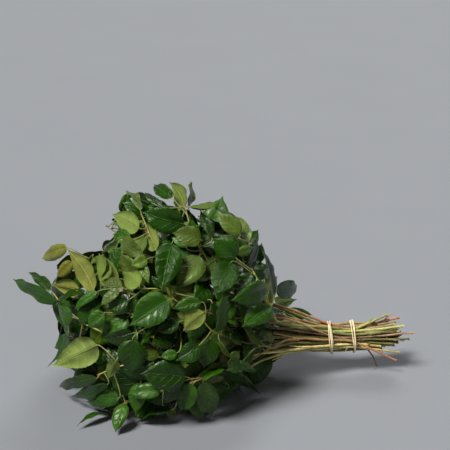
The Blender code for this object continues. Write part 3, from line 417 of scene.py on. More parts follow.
# The looks: their ways, the grid of each, where it starts and how deep it goes
VIEW_TURNS = 8
VIEW_RISE = 0.3
TOP_WAY = (0.1, -0.1, 1.0)
VIEW_REACH = 0.24
VIEW_STEP = 0.017
CLOSE_STEP = 0.011
CLOSE_SCALE = 0.65
LOOK_FROM = 0.6
HEAD_WAY = 0.3
PAST_TARGET = 0.02
DEEP_LOOK = 0.09
ENTRY_SLACK = 0.02
# How far a look that meets nothing is taken to go on, and how far a leaf stands before a stem
FAR_OFF = 1.0
STEM_COVER = 0.012

# Leaf kinds: screen colours of the upper and lower side, the strength of the veins, and gloss
KINDS = {
    "pale": ((60, 88, 30), (119, 137, 66), 1.0, 0.4),
    "yellow": ((104, 110, 40), (120, 124, 54), 1.0, 0.3),
    "light": ((84, 112, 30), (112, 130, 56), 0.7, 0.5),
    "olive": ((74, 92, 30), (108, 122, 54), 0.8, 0.5),
    "glossy": ((32, 66, 6), (86, 106, 44), 0.5, 1.0),
    "dark": ((26, 53, 4), (80, 100, 40), 0.5, 0.8),
    "ribbed": ((38, 75, 8), (90, 110, 44), 1.0, 0.7),
    "green": ((44, 82, 9), (90, 110, 44), 0.7, 0.7),
    "hanging": ((48, 73, 18), (90, 110, 44), 0.8, 0.6),
    "brown": ((78, 80, 32), (108, 112, 50), 0.8, 0.4),
}
# How many leaves without a name are of each kind, and how much their tones differ
RULE_SHARES = {"dark": 0.36, "green": 0.28, "glossy": 0.25, "olive": 0.06, "light": 0.05}
INNER_SHARES = {"dark": 0.58, "green": 0.24, "glossy": 0.18}
TONE_SPREAD = 0.10
WARM_SPREAD = 0.05

# Bark kinds: screen colours at the cut end and at the tip, and how many stems have each
BARK_KINDS = (
    ((146, 148, 80), (124, 134, 66)),
    ((186, 172, 112), (134, 136, 72)),
    ((126, 116, 62), (112, 116, 54)),
    ((150, 106, 80), (122, 112, 62)),
    ((192, 152, 124), (128, 122, 68)),
)
BARK_SHARES = (0.33, 0.23, 0.17, 0.16, 0.11)
# How the bark's tone changes along a stem, and its painted shade: darker inside the bundle, lighter outside
TONE_SHIFT = 0.05
TONE_POWER = 1.3
BLOTCH = 0.10
BLOTCH_BENDS = 70
BARK_LIGHTS = (0.75, 1.5)
INNER_BARK_PAINTED_SHADE = 0.32
OUTER_BARK_PAINTED_LIGHT = 1.12
SHADE_POWER = 1.5
SHADE_FADE = 0.05
# Screen colours of the rest
STALK_TONE = (138, 154, 78)
PROP_TONE = (158, 104, 84)
CUT_TONE = (220, 200, 150)
BUD_TONE = (128, 98, 56)
RUBBER_TONE = (232, 216, 174)
FLOOR_TONE = (126, 129, 135)

# Veins: how many on each side, their lean and curve, how far one side's are shifted along and
# how far all wander
VEIN_COUNT = 5.6
VEIN_LEAN = -0.60
VEIN_CURVE = -1.5
VEIN_SHIFT = 0.47
VEIN_WANDER = 0.05

# Colours of light, as shares of red, green and blue, that a plain tone is multiplied by
UPPER_VEIN = (1.9, 1.65, 1.5, 1.0)
LOWER_VEIN = (1.75, 1.55, 1.6, 1.0)
REDDENED = (1.25, 0.72, 0.62, 1)
# Colours of light as they stand
SPECK_LIGHT = (0.10, 0.055, 0.02, 1.0)
DOT_LIGHT = (0.42, 0.34, 0.20, 1.0)
LEAF_SHEEN = (0.85, 1.0, 0.75, 1.0)
# Screen colours of the cut face's wood, pith and green ring, and of the rubber
WOOD_TONES = ((206, 184, 128), (232, 214, 164))
PITH_TONE = (172, 134, 84)
RING_TONE = (122, 116, 56)
CREAM_TONES = ((222, 204, 160), (240, 226, 190))
CREAM_LINE = (186, 160, 110)
FLOOR_CHANGE = 4

# Light: ways towards the broad lights, how broad they are in radians, their strengths and tints
KEY_WAY = (-0.62, -0.55, 1.25)
KEY_SPREAD = 0.34
KEY_POWER = 4.7
KEY_LIGHT = (1.0, 0.985, 0.94)
FILL_WAY = (0.9, -1.2, 0.9)
FILL_SPREAD = 0.9
FILL_POWER = 0.3
FILL_LIGHT = (1.0, 0.99, 0.97)
BACK_WAY = (0.25, 1.0, 1.1)
BACK_SPREAD = 0.35
BACK_POWER = 1.2
BACK_LIGHT = (1.0, 1.0, 1.0)
WORLD_LIGHT = (0.90, 0.90, 0.90, 1)
WORLD_STRENGTH = 0.025
# The floor's half width and how far it lies below the part, and the camera's sensor in
# millimetres
FLOOR_REACH = 20.0
FLOOR_DROP = 0.0004
SENSOR_WIDTH = 36

# The head's outline in the picture
HEAD_OUTLINE = (
    (10, 281), (30, 268), (40, 255), (66, 245), (84, 262), (96, 249), (108, 240), (110, 213),
    (124, 188), (141, 200), (144, 190), (155, 182), (175, 179), (194, 179), (215, 188),
    (255, 206), (280, 262), (300, 270), (300, 300), (315, 318), (290, 330), (276, 345),
    (276, 368), (258, 388), (266, 398), (250, 397), (226, 390), (222, 408), (206, 420),
    (190, 420), (172, 412), (150, 421), (136, 423), (113, 435), (104, 424), (74, 429),
    (82, 402), (68, 400), (54, 390), (51, 370), (43, 370), (58, 330), (58, 310), (46, 300),
    (28, 297))

# Stems that show: the pixels that each passes in the head, from the bundle to its tip, with
# its depth in millimetres behind the head's front
SHOWN_STEMS = {
    "left sprig": ((215, 336, 90), (155, 338, 60), (101, 338, 20), (70, 321, 12), (53, 293, 10)),
    "yellow sprig": ((215, 310, 110), (160, 297, 70), (124, 291, 36), (98, 293, 16), (79, 291, 14)),
    "brown twig": ((232, 309, 80), (197, 298, 14), (166, 287, 12), (142, 289, 12), (120, 289, 12)),
    "upper left": ((225, 300, 120), (190, 280, 85), (165, 262, 45), (150, 240, 24), (142, 216, 18)),
    "top": ((235, 295, 130), (215, 275, 75), (203, 255, 30), (190, 232, 16), (185, 207, 14)),
    "top right": ((250, 300, 120), (246, 285, 80), (243, 265, 45), (241, 246, 24), (237, 229, 20)),
    "pale twig": ((240, 324, 50), (211, 315, 14), (188, 311, 10), (172, 300, 10), (161, 284, 10)),
    "forked twig": ((246, 346, 55), (224, 340, 12), (209, 329, 10), (203, 319, 12), (191, 316, 16)),
    "low twig": ((252, 361, 55), (232, 371, 20), (217, 371, 10), (203, 379, 10), (193, 382, 8)),
    "low left": ((228, 360, 100), (182, 366, 70), (142, 360, 36), (118, 363, 16), (100, 374, 14)),
    "bottom left": ((232, 376, 80), (190, 386, 50), (156, 393, 24), (130, 399, 14), (115, 408, 10)),
    "middle left": ((220, 325, 100), (175, 322, 55), (146, 317, 34), (126, 311, 22), (107, 313, 12)),
    "right": ((266, 312, 60), (268, 303, 30), (266, 292, 18), (259, 281, 16), (253, 271, 16)),
    "lower right": ((265, 345, 34), (259, 345, 20), (252, 350, 16), (246, 357, 14), (240, 364, 12)),
}

# Where the cut ends of some of them show, on the bundle's own depth
SHOWN_ENDS = {
    "pale twig": (410, 328), "forked twig": (407, 333), "left sprig": (400, 345),
    "low twig": (394, 352), "lower right": (385, 355), "top right": (388, 312), "upper left": (374, 317),
}

# A bare side twig under the bundle that reaches the floor: its start on a stem, and its end
PROP_TWIG = ((368, 353), (378, 372))
PROP_RADIUS = 0.0014
PROP_ROOM = 0.01
PROP_BEND = 0.003

# Leaves that show: the pixels of tip and base, the depth of each in millimetres behind the
# head's front, the blade's width in millimetres, its turn about its own length in degrees
# (0 shows the upper face, 180 the lower) and its arch as a share of its length
SHOWN_LEAVES = {
    "far left": ((12, 279), (57, 302), (0, 8), 30, -38, 0.05),
    "left behind": ((28, 271), (50, 291), (16, 16), 22, 35, 0.05),
    "left edge on": ((50, 308), (85, 292), (2, 10), 26, 72, 0.10),
    "left drooping": ((45, 368), (68, 322), (0, 8), 22, 55, -0.12),
    "yellow high": ((41, 259), (67, 248), (12, 12), 28, 20, 0.05),
    "yellow long": ((67, 248), (94, 290), (0, 10), 34, 160, 0.06),
    "yellow low": ((52, 285), (80, 290), (10, 14), 34, 150, 0.05),
    "shade behind yellow": ((56, 278), (72, 262), (30, 30), 24, 15, 0.03),
    "curled spike": ((102, 252), (101, 278), (2, 8), 20, 78, 0.22),
    "green narrow": ((74, 310), (97, 292), (4, 8), 18, 30, 0.06),
    "green round": ((87, 327), (104, 313), (0, 6), 30, 8, 0.06),
    "olive pointed": ((100, 306), (119, 289), (0, 6), 20, 30, 0.05),
    "dark above olive": ((100, 280), (122, 287), (14, 18), 26, 40, 0.05),
    "pale high": ((112, 214), (139, 228), (0, 12), 38, 165, 0.05),
    "olive spike": ((126, 190), (140, 210), (8, 12), 22, 52, 0.05),
    "brown olive": ((145, 257), (122, 240), (10, 16), 30, 20, 0.05),
    "dark corner": ((121, 279), (112, 242), (10, 16), 30, 15, 0.05),
    "olive ribbed": ((141, 220), (156, 250), (6, 12), 32, 150, 0.05),
    "big glossy top": ((141, 212), (184, 224), (-6, 6), 48, -20, 0.08),
    "dark narrow top": ((145, 192), (160, 207), (14, 18), 26, 55, 0.04),
    "glossy top": ((154, 184), (172, 198), (12, 16), 26, 15, 0.05),
    "olive top": ((170, 182), (184, 208), (8, 12), 34, 150, 0.05),
    "olive narrow top": ((191, 181), (188, 205), (12, 15), 24, 65, 0.05),
    "olive below top": ((172, 233), (201, 240), (4, 10), 36, 15, 0.05),
    "large glossy": ((162, 291), (172, 243), (-2, 8), 46, -10, 0.07),
    "light small": ((131, 266), (147, 259), (4, 10), 22, 10, 0.03),
    "light round": ((123, 271), (139, 286), (0, 4), 34, 170, 0.07),
    "light narrow": ((149, 284), (141, 264), (6, 8), 18, 12, 0.04),
    "white edge": ((151, 275), (160, 287), (0, 3), 12, -20, 0.05),
    "twisted olive": ((160, 272), (173, 300), (0, 4), 18, 62, 0.06),
    "shaded big": ((177, 289), (199, 256), (30, 34), 48, 20, 0.05),
    "dark narrow right": ((200, 209), (212, 238), (16, 20), 24, 45, 0.05),
    "green olive right": ((216, 213), (240, 234), (10, 15), 32, 15, 0.05),
    "dark olive right": ((236, 215), (249, 241), (18, 22), 26, 10, 0.05),
    "glossy right": ((213, 238), (236, 258), (2, 10), 42, -12, 0.06),
    "ribbed dark": ((215, 297), (231, 262), (0, 8), 46, 4, 0.05),
    "light right": ((254, 247), (237, 253), (8, 10), 18, 10, 0.05),
    "narrow right": ((258, 236), (243, 275), (8, 10), 24, 52, 0.05),
    "big glossy right": ((231, 301), (267, 288), (-2, 8), 42, -15, 0.08),
    "small dark right": ((254, 269), (264, 279), (14, 14), 16, 10, 0.03),
    "dark right": ((233, 297), (251, 274), (18, 20), 32, 10, 0.05),
    "ribbed right": ((242, 327), (271, 306), (0, 10), 38, 10, 0.05),
    "broad low right": ((254, 374), (258, 331), (2, 14), 52, 6, 0.05),
    "dark low right": ((250, 388), (266, 352), (10, 18), 42, -15, 0.05),
    "big ribbed": ((129, 326), (168, 300), (-6, 6), 50, 4, 0.06),
    "dark middle left": ((107, 310), (128, 300), (6, 8), 36, 8, 0.06),
    "highlight fold": ((102, 338), (133, 333), (0, 6), 30, -30, 0.10),
    "dark large": ((131, 375), (132, 340), (6, 10), 48, 8, 0.06),
    "olive fold": ((136, 344), (159, 357), (2, 6), 28, 25, 0.05),
    "pale curl": ((183, 331), (204, 312), (0, 4), 32, 165, 0.16),
    "pale small": ((176, 313), (191, 317), (4, 5), 16, 160, 0.05),
    "folded dark": ((204, 369), (210, 339), (10, 14), 38, -10, 0.05),
    "glossy middle": ((176, 361), (199, 345), (0, 6), 34, -15, 0.08),
    "olive on twig": ((234, 361), (220, 341), (0, 2), 20, 60, 0.05),
    "glossy low right": ((226, 371), (240, 361), (0, 6), 26, -25, 0.12),
    "green low right": ((257, 371), (238, 361), (4, 8), 20, 40, 0.10),
    "olive small": ((240, 351), (231, 359), (4, 5), 18, 10, 0.05),
    "dark under twig": ((155, 331), (179, 322), (12, 14), 26, 15, 0.05),
    "green under twig": ((172, 309), (201, 302), (8, 9), 24, 10, 0.05),
    "olive beside twig": ((186, 305), (203, 310), (3, 6), 12, 20, 0.05),
    "green tag": ((160, 357), (177, 353), (4, 8), 18, 10, 0.04),
    "dark tag": ((141, 365), (154, 360), (8, 9), 20, 10, 0.04),
    "big dark": ((140, 374), (186, 377), (-4, 8), 54, -12, 0.06),
    "big pale": ((53, 366), (97, 345), (0, 8), 52, 178, 0.05),
    "small pale": ((108, 379), (116, 361), (0, 4), 22, 170, 0.05),
    "dark foot": ((57, 388), (97, 378), (4, 10), 24, -20, 0.06),
    "glossy foot": ((70, 397), (108, 384), (0, 8), 24, -30, 0.06),
    "foot": ((85, 402), (119, 398), (0, 6), 30, 8, 0.06),
    "arched foot": ((76, 427), (110, 414), (0, 2), 18, 68, 0.16),
    "folded foot": ((115, 433), (124, 403), (0, 4), 28, 25, 0.06),
    "green foot": ((127, 394), (161, 390), (0, 6), 28, 12, 0.06),
    "white rim foot": ((163, 404), (178, 384), (4, 8), 26, -30, 0.08),
    "hanging green": ((180, 412), (193, 384), (0, 4), 36, 8, 0.06),
    "hanging broad": ((212, 417), (203, 382), (0, 5), 38, -8, 0.06),
    "hanging low": ((203, 420), (192, 400), (6, 8), 26, 15, 0.06),
    "narrow foot": ((138, 421), (172, 410), (2, 4), 22, 55, 0.14),
    "olive foot": ((178, 415), (166, 410), (6, 8), 16, 10, 0.05),
    "long drooping": ((262, 397), (217, 374), (0, 3), 26, 48, -0.10),
    "olive at bundle": ((262, 337), (273, 338), (4, 6), 16, 10, 0.05),
    "behind bundle high": ((299, 285), (276, 290), (150, 130), 36, 15, 0.05),
    "behind bundle pale": ((296, 300), (276, 304), (140, 125), 26, 170, 0.05),
    "behind bundle low": ((313, 315), (285, 312), (130, 125), 24, 10, 0.05),
}


def unit(vector):
    """A vector's direction."""
    return vector / max(float(np.linalg.norm(vector)), LEAST_LENGTH)


def side_of(vector, direction):
    """What is left of a vector across a direction, at unit length."""
    return unit(vector - direction * float(np.dot(vector, direction)))


def turned(vector, axis, angle):
    """A vector turned about an axis."""
    cosine = math.cos(angle)
    sine = math.sin(angle)
    return vector * cosine + np.cross(axis, vector) * sine + axis * np.dot(axis, vector) * (1 - cosine)


# Places in the picture

def sight(px, py):
    """The direction from the eye through a pixel."""
    across = (px - PICTURE_MIDDLE) / FOCAL_PIXELS
    down = (py - PICTURE_MIDDLE) / FOCAL_PIXELS
    return unit(EYE_AHEAD + across * ALONG_X - down * EYE_UP)


def seen_place(px, py, deep):
    """The place that shows at a pixel, so many millimetres behind the head's front."""
    line = sight(px, py)
    start = (EYE - HEAD_MIDDLE) / HEAD_RADII
    step = line / HEAD_RADII
    a = float(step @ step)
    b = float(start @ step)
    c = float(start @ start) - 1
    far = (-b - math.sqrt(max(b * b - a * c, 0.0))) / a + deep * MILLIMETRE
    floor = (FLOOR_ROOM - EYE[2]) / line[2]
    return EYE + line * min(far, floor)


def place_at_depth(px, py, y):
    """The place that shows at a pixel, so far along Y."""
    line = sight(px, py)
    return EYE + line * ((y - EYE[1]) / line[1])


def pixel_of(places):
    """The pixels at which places show, one row each."""
    off = np.atleast_2d(places) - EYE
    scale = FOCAL_PIXELS / (off @ EYE_AHEAD)
    return np.stack((PICTURE_MIDDLE + off[:, 0] * scale, PICTURE_MIDDLE - (off @ EYE_UP) * scale), axis=1)


def inside_outline(pixels):
    """Whether every pixel lies in the head's outline, by counting the edges it is left of."""
    corners = np.array(HEAD_OUTLINE, dtype=float)
    nexts = np.roll(corners, -1, axis=0)
    for px, py in pixels:
        spans = (corners[:, 1] > py) != (nexts[:, 1] > py)
        rise = np.where(spans, nexts[:, 1] - corners[:, 1], 1.0)
        cross = corners[:, 0] + (py - corners[:, 1]) * (nexts[:, 0] - corners[:, 0]) / rise
        if np.count_nonzero(spans & (px < cross)) % 2 == 0:
            return False
    return True


# Stems

def bundle_axis(x):
    """The middle of the bundle at a distance along X."""
    stops = (BUNDLE_EXIT, *BUNDLE_TIES, BUNDLE_END)
    along = [stop[0] for stop in stops]
    y = np.interp(x, along, [stop[1] for stop in stops])
    z = np.interp(x, along, [stop[2] for stop in stops])
    return np.array((x, y, z))


def head_path_by_rule(index, count):
    """The places a hidden stem passes in the head: out from the bundle towards its own tip."""
    share = (index + 0.5) / count
    fan = math.acos(1 - FAN_REACH * share)
    spin = index * GOLDEN_TURN
    ring = np.array((-math.cos(fan), math.sin(fan) * math.cos(spin), math.sin(fan) * math.sin(spin)))
    tip = HEAD_MIDDLE + TIP_REACH * HEAD_RADII * ring
    tip[2] = max(tip[2], TIP_FLOOR)
    way = unit(tip - BUNDLE_EXIT)
    leave = BUNDLE_EXIT + EXIT_RADIUS * EXIT_RING * np.array((0.0, way[1], way[2]))
    reach = float(np.linalg.norm(tip - leave))
    bend = leave + BEND_AT * reach * unit(np.array((-EXIT_AIM, 0.0, 0.0)) + EXIT_AIM * way)
    places = []
    for step in range(1, HEAD_NODES + 1):
        t = step / HEAD_NODES
        places.append((1 - t) ** 2 * leave + 2 * t * (1 - t) * bend + t * t * tip)
    return places


def stem_targets(draw):
    """Where each stem would run if no other were in its way, and its radius at each node."""
    heads = [[seen_place(*stop) for stop in stops] for stops in SHOWN_STEMS.values()]
    hidden = STEM_COUNT - len(heads)
    heads += [head_path_by_rule(index, hidden) for index in range(hidden)]
    ends = {place: SHOWN_ENDS[name] for place, name in enumerate(SHOWN_STEMS) if name in SHOWN_ENDS}
    targets = []
    radii = []
    for place, head in enumerate(heads):
        aim = head[1] - bundle_axis(BUNDLE_EXIT[0])
        around = unit(np.array((0.0, aim[1], aim[2])))
        spread = min(1.0, math.hypot(aim[1], aim[2]) / FULL_SPREAD_AT) * draw.uniform(*OUTWARD_SHARE)
        thick = draw.uniform(*STEM_RADIUS)
        end_x = BUNDLE_END[0] + draw.uniform(*LENGTH_SCATTER)
        scatter = np.array((0.0, draw.normal(0, END_SCATTER), draw.normal(0, END_SCATTER)))
        cross = draw.normal(0, STEM_CROSSING)
        path = [bundle_axis(end_x) + END_RADIUS * spread * turned(around, ALONG_X, cross) + scatter]
        if place in ends:
            path = [place_at_depth(*ends[place], BUNDLE_END[1] - SHOWN_END_LEAD)]
        for tie, share in zip(reversed(BUNDLE_TIES), TIE_CROSSINGS):
            path.append(tie + TIE_RADIUS * spread * turned(around, ALONG_X, share * cross))
        path.append(BUNDLE_EXIT + EXIT_RADIUS * spread * turned(around, ALONG_X, EXIT_CROSSING * cross))
        path += head
        targets.append(path)
        taper = [share * thick for share in BUNDLE_TAPER]
        taper += list(np.linspace(HEAD_TAPER * thick, TWIG_RADIUS, HEAD_NODES))
        radii.append(taper)
    return np.array(targets), np.array(radii)


def closest_shares(a0, a1, b0, b1):
    """How far along each of two rods, from 0 to 1, they come closest."""
    da = a1 - a0
    db = b1 - b0
    off = a0 - b0
    aa = np.sum(da * da, axis=1) + LEAST_SQUARE
    bb = np.sum(db * db, axis=1) + LEAST_SQUARE
    ab = np.sum(da * db, axis=1)
    ao = np.sum(da * off, axis=1)
    bo = np.sum(db * off, axis=1)
    s = np.clip((ab * bo - ao * bb) / np.maximum(aa * bb - ab * ab, LEAST_SQUARE), 0, 1)
    t = np.clip((ab * s + bo) / bb, 0, 1)
    s = np.clip((ab * t - ao) / aa, 0, 1)
    return s, t


def push_apart(stems, radii, pairs, draw):
    """Move stems off each other wherever two are closer than their gap."""
    segments = stems.shape[1] - 1
    a, b = pairs
    ia, ka = a // segments, a % segments
    ib, kb = b // segments, b % segments
    s, t = closest_shares(stems[ia, ka], stems[ia, ka + 1], stems[ib, kb], stems[ib, kb + 1])
    pa = stems[ia, ka] * (1 - s)[:, None] + stems[ia, ka + 1] * s[:, None]
    pb = stems[ib, kb] * (1 - t)[:, None] + stems[ib, kb + 1] * t[:, None]
    ra = radii[ia, ka] * (1 - s) + radii[ia, ka + 1] * s
    rb = radii[ib, kb] * (1 - t) + radii[ib, kb + 1] * t
    off = pa - pb
    far = np.linalg.norm(off, axis=1)
    # Where both run along the bundle, their square sections stand on edge, and meet flat to flat
    bundled = (ka < BUNDLE_LENGTHS) & (kb < BUNDLE_LENGTHS)
    across = np.hypot(off[:, 1], off[:, 2]) + LEAST_LENGTH
    section = np.where(bundled, np.maximum(np.abs(off[:, 1]), np.abs(off[:, 2])) / across, 1.0)
    lack = (ra + rb) * section + GAP - far
    near = lack > 0
    way = off + draw.normal(0, SHAKE, off.shape)
    way /= np.linalg.norm(way, axis=1)[:, None]
    push = way * (0.5 * np.maximum(lack, 0))[:, None]
    moves = np.zeros_like(stems)
    counts = np.zeros(stems.shape[:2])
    ends = ((ia, ka, 1 - s, 1), (ia, ka + 1, s, 1), (ib, kb, 1 - t, -1), (ib, kb + 1, t, -1))
    for who, node, share, sign in ends:
        np.add.at(moves, (who[near], node[near]), sign * push[near] * share[near][:, None])
        np.add.at(counts, (who[near], node[near]), share[near] ** 2)
    moves /= np.maximum(counts, LEAST_COUNT)[:, :, None]
    moves[:, TIE_NODES, 0] = 0
    stems += moves


def near_pairs(stems, reach):
    """The pairs of stem lengths, on different stems, that could come within reach."""
    count, nodes, _ = stems.shape
    segments = nodes - 1
    middles = ((stems[:, 1:] + stems[:, :-1]) / 2).reshape(-1, 3)
    halves = (np.linalg.norm(stems[:, 1:] - stems[:, :-1], axis=2) / 2).reshape(-1)
    far = np.linalg.norm(middles[:, None, :] - middles[None, :, :], axis=2)
    owner = np.repeat(np.arange(count), segments)
    apart = owner[:, None] < owner[None, :]
    close = far < halves[:, None] + halves[None, :] + reach
    return np.nonzero(apart & close)


def settled_stems():
    """Every stem's nodes, drawn in at the ties and clear of each other, and their radii."""
    draw = np.random.default_rng(SEED)
    targets, radii = stem_targets(draw)
    stems = targets.copy()
    ties = np.array([BUNDLE_TIES[1], BUNDLE_TIES[0]])
    hold = np.full(stems.shape[1], HEAD_HOLD)
    hold[:FIRST_HEAD_NODE] = HOLD
    for turn in range(sum(SETTLING)):
        if turn % PAIR_ROUNDS == 0:
            pairs = near_pairs(stems, NEIGHBOUR_REACH)
        if turn < SETTLING[0]:
            stems += (targets - stems) * hold[None, :, None]
            middles = (stems[:, EXIT_NODE - 1:-2] + stems[:, EXIT_NODE + 1:]) / 2
            stems[:, EXIT_NODE:-1] += (middles - stems[:, EXIT_NODE:-1]) * SMOOTHING
            stems[:, TIE_NODES] += (ties[None] - stems[:, TIE_NODES]) * FIRST_PULL
        elif turn < SETTLING[0] + SETTLING[1]:
            stems[:, TIE_NODES] += (ties[None] - stems[:, TIE_NODES]) * LAST_PULL
        push_apart(stems, radii, pairs, draw)
        stems[:, TIE_NODES, 0] = ties[None, :, 0]
        lowest = radii[:, FIRST_HEAD_NODE:] + STEM_FLOOR
        stems[:, FIRST_HEAD_NODE:, 2] = np.maximum(stems[:, FIRST_HEAD_NODE:, 2], lowest)
    return stems, radii


# Leaves

def half_outline(u):
    """Half the blade's width along it, as a share of its greatest: broad low down, drawn out
    to a point."""
    u = np.clip(u, 0.0, 1.0)
    high = BASE_FULLNESS * (1 - BROADEST_AT) / BROADEST_AT
    return (u / BROADEST_AT) ** BASE_FULLNESS * ((1 - u) / (1 - BROADEST_AT)) ** high


class Leaf:
    """A blade on its stalk. The stalk's places run from inside the stem to the blade's base."""

    def __init__(self, stalk, tip, face, wide, arch, fold, ripple, phase):
        self.stalk = [stalk[0] - ROOT_DEPTH * unit(stalk[1] - stalk[0]), stalk[1]]
        self.long_stalk = float(np.linalg.norm(stalk[1] - stalk[0])) > LONG_STALK
        self.tip = tip
        self.wide = wide
        self.arch = arch
        self.fold = fold
        self.ripple = ripple
        self.phase = phase
        self.length = float(np.linalg.norm(tip - stalk[-1]))
        self.along = unit(tip - stalk[-1])
        self.up = side_of(face, self.along)
        self.across = np.cross(self.up, self.along)

    def places(self, u, v):
        """Places on the blade: u runs from base to tip, v from -1 to 1 across."""
        half = 0.5 * self.wide * half_outline(u)
        edge = np.abs(v)
        lift = self.arch * self.length * np.sin(math.pi * u)
        lift = lift + half * (self.fold * edge - FOLD_EASE * self.fold * edge ** 3)
        wave = np.sin(2 * math.pi * (WAVES * u + self.phase) + WAVE_LAG * np.sign(v))
        lift = lift + self.ripple * self.length * wave * edge ** WAVE_EDGE * np.sin(math.pi * u)
        out = self.stalk[-1] + np.multiply.outer(self.length * u, self.along)
        out = out + np.multiply.outer(half * v, self.across)
        return out + np.multiply.outer(lift, self.up)


def blade_rows(leaf, stops, ribbed, room):
    """Rows of places down the leaf, stalk first, each with its upward offset."""
    ahead = unit(leaf.stalk[1] - leaf.stalk[0])
    lifted = leaf.up * (BLADE_THICKNESS / 2 + room)
    bent = lifted
    if leaf.long_stalk:
        up = leaf.up if abs(float(leaf.up @ ahead)) < STEEP_STALK else side_of(leaf.along, ahead)
        across = unit(np.cross(up, ahead)) * (STALK_WIDTH / 2 + room)
        thick = up * (STALK_THICKNESS / 2 + room)
        rows = [([place - across, place + across], thick) for place in leaf.stalk]
    else:
        first = leaf.places(np.array(stops[:1]), np.zeros(1))[0]
        up = unit(np.cross(unit(first - leaf.stalk[0]), leaf.across))
        rows = [([leaf.stalk[0]], up * (STALK_THICKNESS / 2 + room))]
        middle = unit(up + leaf.up)
        bent = middle * (BLADE_THICKNESS / 2 + room) / max(float(middle @ leaf.up), LEAST_COSINE)
    marks = np.array((-1.0, 0.0, 1.0)) if ribbed else np.array((-1.0, 1.0))
    for stop in stops:
        row = leaf.places(np.full(len(marks), stop), marks)
        row = row + np.multiply.outer(marks * room, leaf.across)
        rows.append((list(row), bent if stop == stops[0] else lifted))
    rows.append(([leaf.tip + leaf.along * room], lifted))
    return rows


def well_hung(leaf):
    """Whether the blade leads away from its root without doubling back over its stalk."""
    first = leaf.places(np.array((PLAIN_ROWS[0],)), np.zeros(1))[0]
    lead = unit(first - leaf.stalk[0])
    sideways = abs(float(lead @ leaf.across))
    return float(lead @ leaf.along) > LEAST_LEAD and sideways < MOST_SIDEWAYS


def on_floor(one, other):
    """Two places through a blade's thickness, flattened on the floor where they reach below it."""
    if one[2] > other[2]:
        other, one = on_floor(other, one)
        return one, other
    if one[2] < 0:
        one = np.array((one[0], one[1], 0.0))
        other = np.array((other[0], other[1], max(other[2], BLADE_THICKNESS)))
    return one, other


def blade_shape(leaf, stops, ribbed=True, room=0.0):
    """A closed blade: the rows joined above and below, with a wall round the edge."""
    rows = blade_rows(leaf, stops, ribbed, room)
    upper = []
    lower = []
    index_rows = []
    for row, offset in rows:
        index_rows.append(list(range(len(upper), len(upper) + len(row))))
        for place in row:
            above, below = on_floor(place + offset, place - offset)
            upper.append(above)
            lower.append(below)
    count = len(upper)
    faces = []
    for near, far in zip(index_rows[:-1], index_rows[1:]):
        faces += joined_rows(near, far)
    below = [tuple(count + corner for corner in reversed(face)) for face in faces]
    left = [row[0] for row in index_rows]
    right = [row[-1] for row in index_rows]
    rim = left + right[-2::-1] if len(index_rows[0]) > 1 else left + right[-2:0:-1]
    walls = []
    for here, there in zip(rim, rim[1:] + rim[:1]):
        walls.append((there, here, count + here))
        walls.append((there, count + here, count + there))
    return upper + lower, faces + below + walls


def joined_rows(near, far):
    """Triangles between two rows of one, two or three places, the same on both faces."""
    if len(near) == 1:
        return [(a, b, near[0]) for a, b in zip(far[:-1], far[1:])]
    if len(near) == 2 and len(far) == 3:
        return [(far[0], far[1], near[0]), (far[1], near[1], near[0]), (far[1], far[2], near[1])]
    if len(far) == 1:
        return [(far[0], b, a) for a, b in zip(near[:-1], near[1:])]
    faces = []
    middle = (len(near) - 1) / 2
    for place in range(len(near) - 1):
        a, b, c, d = near[place], near[place + 1], far[place + 1], far[place]
        if place < middle:
            faces += [(c, b, a), (d, c, a)]
        else:
            faces += [(d, b, a), (d, c, b)]
    return faces


class Growth:
    """What has been placed so far, and the test that a new leaf is clear of it."""

    def __init__(self, stems, radii):
        self.stems = stems
        self.radii = radii
        self.leaves = []
        self.trees = []
        self.lows = []
        self.highs = []
        self.stem_trees = [rod_tree(path, size) for path, size in zip(stems, radii)]
        self.stem_lows = stems.min(axis=1) - BOX_ROOM
        self.stem_highs = stems.max(axis=1) + BOX_ROOM
        self.shown = []
        self.names = []

    def clear(self, owner, shape):
        """Whether a shape with its room round it touches nothing, itself included."""
        corners = np.array(shape[0])
        low = corners.min(axis=0)
        high = corners.max(axis=0)
        tree = BVHTree.FromPolygons(shape[0], shape[1])
        if any(not set(shape[1][a]) & set(shape[1][b]) for a, b in tree.overlap(tree)):
            return False
        near = np.all((self.stem_lows <= high) & (self.stem_highs >= low), axis=1)
        for other in np.nonzero(near)[0]:
            if other != owner and tree.overlap(self.stem_trees[other]):
                return False
        if self.trees:
            near = np.all((np.array(self.lows) <= high) & (np.array(self.highs) >= low), axis=1)
            for other in np.nonzero(near)[0]:
                if tree.overlap(self.trees[other]):
                    return False
        return True

    def add(self, owner, leaf, stops, ribbed, name=""):
        """Keep a leaf. One with a name is meant to show."""
        shape = blade_shape(leaf, stops, ribbed)
        corners = np.array(shape[0])
        self.leaves.append((owner, leaf, stops, ribbed))
        self.trees.append(BVHTree.FromPolygons(shape[0], shape[1]))
        self.lows.append(corners.min(axis=0))
        self.highs.append(corners.max(axis=0))
        self.names.append(name)
        if name:
            self.shown.append(self.trees[-1])

    def covers(self, place, way):
        """Whether some leaf lies close along a line."""
        start = Vector(place)
        line = Vector(way)
        return any(tree.ray_cast(start, line, COVER_DEPTH)[0] is not None for tree in self.trees)

    def hides_shown(self, leaf):
        """Whether a leaf would stand before one that is meant to show."""
        for u, v in HIDING_MARKS:
            place = leaf.places(np.array([u]), np.array([v]))[0]
            away = unit(place - EYE)
            if any(tree.ray_cast(Vector(place), Vector(away))[0] is not None for tree in self.shown):
                return True
        return False


